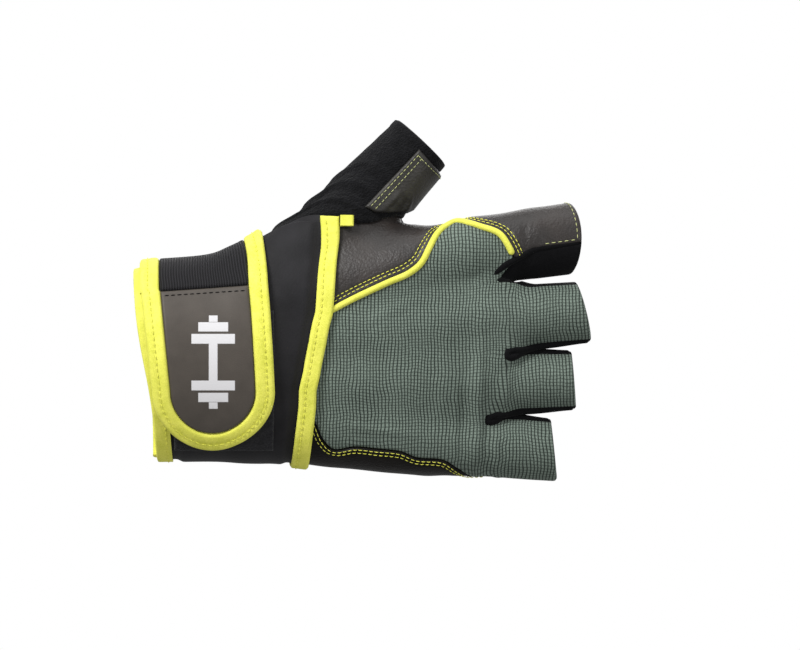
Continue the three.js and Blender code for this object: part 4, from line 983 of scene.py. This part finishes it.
# The rolled lips where a wall between two fingers is sewn to the back: the roll's radius, its radius in the
# crotch, and how far it reaches back over the cloth there
LIPS = {
    "fourchette_index_middle": (1, 1.9, 3.8),
    "fourchette_middle_ring": (1.5, 1.5, 1),
    "fourchette_ring_little": (1.5, 1.5, 0.6),
}
LIP_POINTS = 240
LIP_SMOOTHING = 5  # points to each side whose mean evens out the lip's path
for name, grid in walls.items():
    surface = Surface([grid])
    cloth(name, surface, soft(surface.edge, WEB_WALL, 0.8, 0.5), 0, "black_fabric")
    radius, crotch_radius, reach = LIPS[name]
    line = evenly(grid[:, 0], LIP_POINTS)
    share = np.linspace(-1, 1, LIP_POINTS)
    crotch = bump(share, 0, 0.34)
    to_gap = facing_out(evenly(grid[:, 3], LIP_POINTS)) * (radius / 2)
    if name == "fourchette_index_middle":  # this lip lies on the back's cloth
        line = settle(line - np.array([reach, 0, 0]) * crotch[:, None])
        to_gap *= 0
    else:
        to_gap[:, 0] -= reach * crotch
    out = facing_out(line)
    path = line + out * (BACK_WALL * 0.3) + to_gap
    for _ in range(3):
        longer = np.pad(path, ((LIP_SMOOTHING, LIP_SMOOTHING), (0, 0)), mode="edge")
        path = np.mean([longer[k : k + LIP_POINTS] for k in range(2 * LIP_SMOOTHING + 1)], axis=0)
    wide = mix(radius, crotch_radius, crotch) * mix(0.8, 1.25, bump(np.abs(share), 0.45, 0.5))
    points, faces = cord(path, unit(out), wide)
    mesh_piece(name.replace("fourchette", "lip"), points, faces, "black_fabric")
print("panels:", len(made))

# %% Thumb
SLEEVE_HEM = 3.2
# Wrinkles round the thumb's sleeve: place along as a share, half the width, and the height
RINGED = [(0.16, 0.05, 0.8), (0.27, 0.05, -0.5), (0.36, 0.05, 0.7), (0.47, 0.05, -0.4), (0.56, 0.045, 0.45)]


def sleeve_height():
    """Terry wall with wrinkles on its outer side, and a hem that is turned over once."""
    rows = np.linspace(0, 1, SLEEVE_CELLS + 1)[:, None] + 0 * sleeve[..., 0]
    turn = np.broadcast_to(thumb_loop[2][::2], rows.shape)
    to_end = np.linalg.norm(np.diff(sleeve[::-1], axis=0, prepend=sleeve[-1:]), axis=-1).cumsum(0)[::-1]
    outer = 0.5 - 0.5 * np.cos(np.radians(turn - 90))
    total = SLEEVE_WALL * mix(0.5, 1, rolled(to_end, 0.8)) * mix(0.6, 1, rolled(rows * THUMB_REACH, 2.5))
    for middle, half, height in RINGED:
        total += height * bump(rows + 0.02 * np.sin(np.radians(3 * turn)), middle, half) * outer
    total += 0.22 * ease(SLEEVE_HEM - to_end, -0.3, 0.2)
    return total + 0.12 * wavy(sleeve, 9, 11)


sleeve_surface = Surface([sleeve])
cloth("thumb_sleeve", sleeve_surface, sleeve_surface.keep([sleeve_height()]), 0, "terry")

PATCH_SEAT = 2.5
patch_surface = Surface([patch])
PATCH_FOLDS = [(84, 57, 92, 66, 1.3, 0.6), (88, 55.5, 94, 64, 1.2, -0.4), (91, 56, 95, 65, 1.1, 0.6),
               (96, 68, 101, 76, 2.4, 0.3), (93, 60, 89, 68, 2, -0.3)]
patch_height = soft(patch_surface.edge, PATCH_WALL, 1, 0.35)
patch_height = PATCH_SEAT + patch_height + folds(patch_surface.points, PATCH_FOLDS)
cloth("thumb_patch", patch_surface, patch_height, PATCH_SEAT, "leather")

# %% Cuff, piping and tapes
PRESSED, SLOPE, EDGE_WALL, EDGE_LEG = 1.2, 3, 0.7, 5
cuff_surface = Surface([cuff])
down = np.linalg.norm(np.diff(cuff, axis=0, prepend=cuff[:1]), axis=-1).cumsum(0)
from_opening, from_seam = (cuff_surface.keep([value]) for value in (down, down[-1:] - down))
padding = ease(from_opening, EDGE_LEG + PRESSED, EDGE_LEG + PRESSED + SLOPE)
padding *= ease(from_seam, TAPE_WIDTH / 2 + PRESSED, TAPE_WIDTH / 2 + PRESSED + SLOPE)
puffed = padding * (1 + 0.12 * wavy(cuff_surface.points, 24, 13))
cuff_piece = cloth("cuff", cuff_surface, mix(SEWN_WALL, CUFF_WALL, puffed), 0, "padded_fabric")

PIPING_RADIUS = 1.2
piping_line = evenly(lines["piping"], 400)[3:390]  # a little short of the line at both ends
piping_out = facing_out(piping_line)
points, faces = cord(piping_line + piping_out * (PIPING_RADIUS + GAP), piping_out, PIPING_RADIUS)
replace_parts(mesh_piece("piping", points, faces, "bright_tape"), "piping")

TAPE_STITCH = 2.3
HEM = 24  # points round half of the folded tape's section
angle = np.linspace(np.pi / 2, -np.pi / 2, HEM)
high, low = SEWN_WALL + GAP + EDGE_WALL, -GAP - EDGE_WALL
half = (high - low) / 2
leg = np.linspace(-EDGE_LEG, 0, 9)[:-1]
outer = np.concatenate([
    np.stack([leg, high + 0 * leg], -1),
    np.stack([0.9 * np.cos(angle), (high + low) / 2 + half * np.sin(angle)], -1),
    np.stack([leg[::-1], low + 0 * leg], -1),
])
inner = outer[::-1].copy()
inner[:, 1] = (high + low) / 2 + (inner[:, 1] - (high + low) / 2) * (1 - EDGE_WALL / half)
inner[:, 0] = np.where(inner[:, 0] > 0, inner[:, 0] * 0.3, inner[:, 0])
section = np.concatenate([outer, inner])
loop = cuff_edge[:-1]
away = unit(loop - cuff[8][:-1])
bases = settle(loop[:, None] + away[:, None] * np.minimum(section[:, :1], 0))
outs = facing_out(bases)
rings = bases + away[:, None] * np.maximum(section[:, :1], 0) + outs * section[:, 1:]
points, faces = sweep(loop, rings, closed=True)
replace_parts(mesh_piece("cuff_edge_binding", points, faces, "bright_tape"), "cuff_edge_binding")

taped = Surface([wrist_tape])
seat = taped.keep([wrist_tape_seat])
tape_top = soft(taped.edge, TAPE_WALL, 1.2, 0.45)
tape_top = tape_top + puckers(taped.points, wrist_tape[:, 4], 0, 0.8, 0.3, TAPE_STITCH)
cloth("wrist_binding", taped, seat + tape_top, seat, "bright_tape")

TAIL = {"back": -0.3, "width": 4, "long": 5, "sheet": 0.6, "space": 0.5}
seam_end = wrist_seam[0]
inwards = unit(wrist_seam[1] - seam_end)
off_tape = unit(np.cross(inwards, facing_out(wrist_seam[:1])[0]))
off_tape *= np.sign(off_tape[0]) * (TAPE_WIDTH / 2 + GAP)
place = settle((seam_end + inwards * TAIL["back"] + off_tape)[None])
out = facing_out(place)[0]
ahead = unit(off_tape - out * (out @ off_tape))
across = np.cross(ahead, out)
bow = (TAIL["sheet"] + TAIL["space"]) / 2
angle = np.linspace(-np.pi / 2, np.pi / 2, 15)
straight = np.linspace(0, TAIL["long"] - bow - TAIL["sheet"] / 2, 10)
fold_x = np.concatenate([straight, straight[-1] + bow * np.cos(angle)[1:-1], straight[::-1]])
fold_y = np.concatenate([0 * straight, bow + bow * np.sin(angle)[1:-1], 2 * bow + 0 * straight])
normal = np.stack([-np.gradient(fold_y), np.gradient(fold_x)], -1)
normal /= np.linalg.norm(normal, axis=1, keepdims=True)
sides = np.array([1, 1, -1, -1]) * TAIL["sheet"] / 2
widths = np.array([-1, 1, 1, -1]) * TAIL["width"] / 2
spine = np.stack([fold_x, fold_y + TAIL["sheet"] / 2], -1)
rings = spine[:, None] + normal[:, None] * sides[:, None]
base = place[0] + out * (SLEEVE_WALL + 2 * GAP)
path = base + spine[:, :1] * ahead + spine[:, 1:] * out
section = base + rings[..., :1] * ahead + rings[..., 1:] * out + widths[:, None] * across
points, faces = sweep(path, section)
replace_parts(mesh_piece("binding_tail", points, faces, "bright_tape"), "binding_tail")
print("tail:", points.min(0).round(1), points.max(0).round(1))

# %% Strap, tab and fastening
surface = Surface([loop_patch])
height = LOOP_SEAT + soft(surface.edge, LOOP_WALL, 0.8, 0.5) + 0.12 * wavy(surface.points, 3, 17)
cloth("loop_patch", surface, height, LOOP_SEAT, "loop_fabric")
strap_surface = Surface([strap])
seat = strap_surface.keep([strap_seat(strap_turn) + 0 * strap[..., 0]])
strap_top = seat + soft(strap_surface.edge, STRAP_WALL, 1, 0.5)
strap_piece = cloth("strap", strap_surface, strap_top, seat, "elastic")
surface = Surface([tab])
cloth("strap_tab", surface, TAB_SEAT + soft(surface.edge, STRAP_WALL, 0.8, 0.6), TAB_SEAT, "smooth_synthetic")
surface = Surface([strap_tape])
seat = surface.keep([strap_tape_seat])
tape_top = soft(surface.edge, BINDING_WALL, 1.5, 0.4)
tape_top = tape_top + puckers(surface.points, strap_tape[:, 7], 0, 0.9, 0.4, TAPE_STITCH)
cloth("strap_binding", surface, seat + tape_top, seat, "bright_tape")
print("pieces that stand for solids:", len(made))


# %% Stitching
def lifted(line, height):
    """A line lifted off the skin by a height, and the directions out of the skin along it."""
    out = facing_out(line)
    return line + out * np.broadcast_to(height, len(line))[:, None], out


cord_line = evenly(lines["piping"], 300)[6:]
stitches("stitches_piping", [
    lying_on(index_surface, index_height, aside(cord_line, ROW_1, -1)),
    lying_on(index_surface, index_height, aside(cord_line, ROW_2, -1)),
], pitch=1.85, long=1.4)
leather_line = evenly(lines["leather"], 300)[8:-2]
stitches("stitches_palm", [
    lying_on(palm_surface, palm_height, aside(leather_line, SEAM_1, 1)),
    lying_on(palm_surface, palm_height, aside(leather_line, SEAM_2, 1)),
], pitch=STITCH)
finger = index["index_finger"]
stitches("stitches_index", [
    lying_on(index_surface, index_height, finger[-5, 3:-3]),
    lying_on(index_surface, index_height, finger[26:-5, -4]),
], pitch=2.1)
on_patch = PATCH_SEAT + PATCH_WALL
stitches("stitches_thumb", [
    lifted(evenly(patch[3, 2:-3], 90), on_patch),
    lifted(evenly(patch[7, 2:-3], 90), on_patch),
    lifted(evenly(patch[3:-3, -5], 90), on_patch),
    lifted(evenly(patch[-4, 2:-3], 90), on_patch),
], pitch=1.7, long=1.25, radius=0.14)
tape_height = wrist_tape_seat[:, 4] + TAPE_WALL
strap_line = strap_tape[:, 7]
edge_line = settle(loop + away * -3.4)
edge_line = np.concatenate([edge_line, edge_line[:1]])
stitches("stitches_tapes", [
    lifted(wrist_tape[3:-3, 4], tape_height[3:-3]),
    lifted(strap_line[3:-3], strap_tape_seat[3:-3, 7] + BINDING_WALL),
    lifted(edge_line, SEWN_WALL + GAP + EDGE_WALL),
], pitch=TAPE_STITCH, long=1.7, radius=0.16)
tab_line = lifted(tab[3, 2:-2], tab_raised)
stitches("stitches_tab", [tab_line], slot="black_fabric", pitch=2.2, long=1.7, radius=0.2)
corners = sum(len(made[name].data.vertices) for name in made if name.startswith("stitches"))
print("stitches:", corners // (RINGS * THREAD_SIDES))

# %% [markdown]
# ## Looks
# Every finish is a small formula over the surface. Woven cloths read where a point lies on the flat
# cloth, in millimetres, from the attribute "weave", so that their threads bend with the piece.

# %% Shader arithmetic
class Value:
    """A node's output socket that can be calculated with, as numbers can."""

    def __init__(self, look, socket):
        self.look, self.socket = look, socket

    def __add__(self, other):
        return self.look.maths("ADD", self, other)

    def __sub__(self, other):
        return self.look.maths("SUBTRACT", self, other)

    def __mul__(self, other):
        return self.look.maths("MULTIPLY", self, other)

    __radd__, __rmul__ = __add__, __mul__


class Look:
    """A slot's material: a Principled shader, and a method that adds any node before it."""

    def __init__(self, slot, **constants):
        self.material = bpy.data.materials.new(slot)
        self.material.use_nodes = True
        self.tree = self.material.node_tree
        self.shader = self.tree.nodes["Principled BSDF"]
        self.feed(self.shader, constants)

    def feed(self, node, values):
        """Fills sockets with numbers, colours or Values. A socket is named by words joined with
        underscores, or by its number."""
        for name, value in values.items():
            wanted = [s for s in node.inputs if s.enabled and s.name == str(name).replace("_", " ")]
            socket = node.inputs[name] if isinstance(name, int) else wanted[0]
            if isinstance(value, Value):
                self.tree.links.new(value.socket, socket)
            else:
                socket.default_value = value

    def node(self, kind, settings=None, output=0, **values):
        """Any node: its settings, and what its sockets are fed with. Gives one of its outputs."""
        node = self.tree.nodes.new("ShaderNode" + kind)
        for name, value in (settings or {}).items():
            setattr(node, name, value)
        self.feed(node, values)
        found = [s for s in node.outputs if s.enabled][output]
        return Value(self, found)

    def maths(self, operation, *numbers):
        """A sum or another calculation with one or two numbers."""
        node = self.tree.nodes.new("ShaderNodeMath")
        node.operation = operation
        self.feed(node, dict(enumerate(numbers)))
        return Value(self, node.outputs[0])

    def step(self, value, low, high):
        """0 where value is under low, 1 over high, and an S-shaped cubic between."""
        settings = {"interpolation_type": "SMOOTHSTEP"}
        return self.node("MapRange", settings, Value=value, From_Min=low, From_Max=high)

    def wave(self, value, pitch):
        """0.5 + 0.5 * cos(2 * pi * value / pitch)"""
        return 0.5 + 0.5 * self.maths("COSINE", value * (2 * np.pi / pitch))

    def split(self, vector):
        """The three parts of a vector."""
        node = self.tree.nodes.new("ShaderNodeSeparateXYZ")
        self.feed(node, {0: vector})
        return [Value(self, output) for output in node.outputs]

    def weave(self):
        """The place on the flat cloth in millimetres: along and across."""
        return self.split(self.node("Attribute", {"attribute_name": "weave"}, output=1))[:2]

    def place(self):
        """The place in the frame in metres, as a vector."""
        return Value(self, self.tree.nodes.new("ShaderNodeTexCoord").outputs["Object"])

    def noise(self, size, detail=3.0, roughness=0.55):
        """Noise whose largest patches are about size millimetres."""
        scale = 1 / (size * MM)
        return self.node("TexNoise", Vector=self.place(), Scale=scale, Detail=detail, Roughness=roughness)

    def cells(self, size):
        """Distance to the nearest of scattered points that lie about size millimetres apart."""
        return self.node("TexVoronoi", Vector=self.place(), Scale=1 / (size * MM))

    def colours(self, mask, dark, light):
        """Between two colours by a mask. The dark one may be a Value."""
        dark = dark if isinstance(dark, Value) else (*dark, 1)
        return self.node("Mix", {"data_type": "RGBA"}, Factor=mask, A=dark, B=(*light, 1))

    def finish(self, colour=None, roughness=None, heights=()):
        """Feeds the shader. heights are pairs of a height from 0 to 1 and its depth in millimetres."""
        normal = None
        for height, depth in heights:
            linked = {"Normal": normal} if normal else {}
            normal = self.node("Bump", Height=height, Distance=depth * MM, Strength=1.0, **linked)
        given = {"Base_Color": colour, "Roughness": roughness, "Normal": normal}
        self.feed(self.shader, {name: value for name, value in given.items() if value is not None})
        return self.material


def srgb(*levels):
    """Linear shares of a colour given as screen levels from 0 to 255."""
    share = np.array(levels) / 255
    return tuple(np.where(share <= 0.04045, share / 12.92, ((share + 0.055) / 1.055) ** 2.4).tolist())


# %% Finishes
RIB, THREAD = 1.25, 1.15  # pitch of the back's woven grid along and across


def mesh_fabric():
    """Ribs that cross the fingers, cut into blocks by thinner gaps between the threads along them."""
    look = Look("mesh_fabric", Roughness=0.8, Sheen_Weight=0.03, Specular_IOR_Level=0.12)
    along, across = look.weave()
    drawn_along, drawn_across = look.noise(16, 2) * 3, look.noise(13, 2) * 3  # no thread is quite straight
    rib = look.step(look.wave(along + drawn_along, RIB), -0.1, 0.5)
    thread = look.step(look.wave(across + drawn_across, THREAD), -0.1, 0.45)
    grid = rib * (0.42 + 0.58 * thread)
    patches = look.noise(14)
    uneven = look.noise(1.3, 2)
    shade = grid * (0.62 + 0.5 * uneven) + patches * 0.24 - 0.12
    return look.finish(look.colours(shade, srgb(28, 34, 31), srgb(120, 133, 123)), heights=[(grid, 0.22)])


def leather(name="leather", dark=srgb(28, 24, 22), light=srgb(44, 38, 35), shine=0.45):
    """Fine grain of cells and soft bumps, over patches of a lighter tone."""
    look = Look(name, Specular_IOR_Level=shine)
    grain = look.cells(0.9)
    soft_grain = look.noise(1.6, 4)
    patches = look.noise(18)
    shade = look.step(patches, 0.3, 0.7)
    roughness = 0.42 + 0.14 * soft_grain
    return look.finish(look.colours(shade, dark, light), roughness, [(soft_grain, 0.16), (grain, 0.1)])


def black_fabric():
    """Dark knit with small patches."""
    look = Look("black_fabric", Roughness=0.9, Sheen_Weight=0.03, Specular_IOR_Level=0.1)
    colour = look.colours(look.noise(1.2), srgb(4, 4, 5), srgb(18, 18, 20))
    return look.finish(colour, heights=[(look.noise(0.6), 0.15)])


def terry():
    """Small loops, gathered in tufts."""
    look = Look("terry", Roughness=0.95, Sheen_Weight=0.06, Specular_IOR_Level=0.08)
    loops = look.cells(0.75)
    tufts = look.noise(2.6, 4)
    colour = look.colours(tufts, srgb(5, 5, 6), srgb(28, 28, 30))
    return look.finish(colour, heights=[(tufts, 0.5), (loops, 0.45)])


def bright_tape():
    """Close woven tape, a little uneven in tone."""
    look = Look("bright_tape", Roughness=0.75, Sheen_Weight=0.03, Specular_IOR_Level=0.15)
    threads_seen = look.noise(0.5, 2)
    patches = look.noise(5)
    shade = look.step(threads_seen * 0.5 + patches * 0.5, 0.3, 0.65)
    colour = look.colours(shade, srgb(206, 208, 76), srgb(230, 228, 100))
    return look.finish(colour, heights=[(threads_seen, 0.12)])


def padded_fabric():
    """Smooth knit with broad patches."""
    look = Look("padded_fabric", Roughness=0.62, Sheen_Weight=0.03, Specular_IOR_Level=0.15)
    knit = look.noise(0.7, 2)
    patches = look.noise(9)
    return look.finish(look.colours(patches, srgb(17, 17, 18), srgb(37, 36, 39)), heights=[(knit, 0.1)])


RIB_OF_STRAP, PICK_OF_STRAP = 1.0, 0.8  # pitch of the strap's ribs and picks


def elastic():
    """Ribs that run round the wrist, and finer picks across them."""
    look = Look("elastic", Roughness=0.7, Sheen_Weight=0.03, Specular_IOR_Level=0.12)
    along, across = look.weave()
    rib = look.wave(across, RIB_OF_STRAP)
    pick = look.wave(along, PICK_OF_STRAP)
    return look.finish(look.colours(rib * 0.7 + pick * 0.2, srgb(10, 10, 11), srgb(44, 43, 46)),
                       heights=[(rib, 0.25), (pick, 0.06)])


# A plain dumbbell printed on the tab: each bar's middle above the sign's middle, its width and its height
SIGN_AT = (0.0237, 0.0011)
SIGN = [
    (0, 3.2, 17), (8.6, 16, 3.6), (-8.6, 16, 3.6), (13, 11, 3.4), (-13, 11, 3.4),
    (16, 3.2, 2.4), (-16, 3.2, 2.4),
]
SIGN_BLUR = 0.15


def smooth_synthetic():
    """Coated cloth with a printed sign: the sign is the largest of its bars' masks."""
    look = Look("smooth_synthetic", Roughness=0.5, Specular_IOR_Level=0.25)
    x, _, z = look.split(look.place())
    sign = 0
    for above, wide, high in SIGN:
        across = look.maths("ABSOLUTE", x - SIGN_AT[0])
        up = look.maths("ABSOLUTE", z - SIGN_AT[1] - above * MM)
        bar = look.step(across, (wide / 2 + SIGN_BLUR) * MM, (wide / 2 - SIGN_BLUR) * MM)
        bar = bar * look.step(up, (high / 2 + SIGN_BLUR) * MM, (high / 2 - SIGN_BLUR) * MM)
        sign = look.maths("MAXIMUM", bar, sign)
    fine = look.noise(0.4, 2)
    plain = look.colours(look.noise(8), srgb(62, 57, 52), srgb(80, 74, 68))
    printed = look.colours(sign, plain, srgb(206, 205, 207))
    return look.finish(printed, heights=[(fine, 0.05), (sign, 0.06)])


def loop_fabric():
    """Fuzzy loops."""
    look = Look("loop_fabric", Roughness=1.0, Sheen_Weight=0.1, Specular_IOR_Level=0.1)
    fuzz = look.noise(0.6, 4)
    return look.finish(look.colours(fuzz, srgb(4, 4, 5), srgb(52, 52, 55)), heights=[(fuzz, 0.5)])


makers = [mesh_fabric, leather, black_fabric, terry, bright_tape, padded_fabric, elastic, smooth_synthetic]
finishes = {make.__name__: make() for make in [*makers, loop_fabric]}
for thing in made.values():
    thing.data.materials.append(finishes[thing["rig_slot"]])
# Painted shade: the palm's leather is a darker copy of the index finger's leather, standing in for the shade
# on its downward side; it also shines less.
palm_piece.data.materials[0] = leather("palm_leather", srgb(12, 10, 9), srgb(24, 21, 19), 0.12)
made["thumb_patch"].data.materials[0] = leather("patch_leather", srgb(22, 21, 20), srgb(56, 54, 50), 0.4)
look = Look("pale_thread", Roughness=0.8)
tone = look.noise(2, 2)
pale_colour = look.colours(tone, srgb(150, 156, 96), srgb(208, 212, 150))
pale_thread = look.finish(pale_colour, heights=[(tone, 0.1)])
for name in ("stitches_index", "stitches_thumb"):
    made[name].data.materials[0] = pale_thread
print("finishes:", len(finishes))

# %% Camera and light
def aim(thing, at, to):
    """Puts a camera or a lamp at a place, looking at another."""
    thing.location = at
    thing.rotation_euler = (Vector(to) - Vector(at)).to_track_quat("-Z", "Y").to_euler()
    scene.collection.objects.link(thing)
    return thing


MIDDLE = (0.0925, 0, 0.0148)
WIDE = 0.296  # what the picture shows from side to side, on the glove's back
camera = bpy.data.objects.new("camera", bpy.data.cameras.new("camera"))
camera.data.lens = 400
camera.data.sensor_width = 36
BACK_AT = 0.012  # how far in front of the middle the glove's back lies
distance = WIDE * camera.data.lens / camera.data.sensor_width + BACK_AT
scene.camera = aim(camera, (MIDDLE[0], -distance, MIDDLE[2]), MIDDLE)

# name: place, size and power of a lamp
LAMPS = {
    "key": ((-0.5, -0.6, 0.65), 0.3, 10.5),
    "fill": ((0.75, -0.7, 0.25), 0.7, 3),
    "top": ((0.1, -0.1, 0.9), 0.6, 3),
    "behind": ((0.3, 0.8, 0.35), 0.8, 6),
}
for name, (at, size, power) in LAMPS.items():
    lamp = bpy.data.lights.new(name, "AREA")
    lamp.size = size
    lamp.energy = power
    aim(bpy.data.objects.new(name, lamp), at, MIDDLE)
# The room shines a soft white light, and the camera sees it as plain white
world = bpy.data.worlds.new("room")
scene.world = world
world.use_nodes = True
tree = world.node_tree
seen = tree.nodes.new("ShaderNodeBackground")
seen.inputs["Color"].default_value = (1, 1, 1, 1)
shone = tree.nodes["Background"]
shone.inputs["Color"].default_value = (1, 1, 1, 1)
shone.inputs["Strength"].default_value = 0.46
ray = tree.nodes.new("ShaderNodeLightPath")
choice = tree.nodes.new("ShaderNodeMixShader")
tree.links.new(ray.outputs["Is Camera Ray"], choice.inputs["Fac"])
tree.links.new(shone.outputs["Background"], choice.inputs[1])
tree.links.new(seen.outputs["Background"], choice.inputs[2])
tree.links.new(choice.outputs["Shader"], tree.nodes["World Output"].inputs["Surface"])
scene.view_settings.view_transform = "Standard"
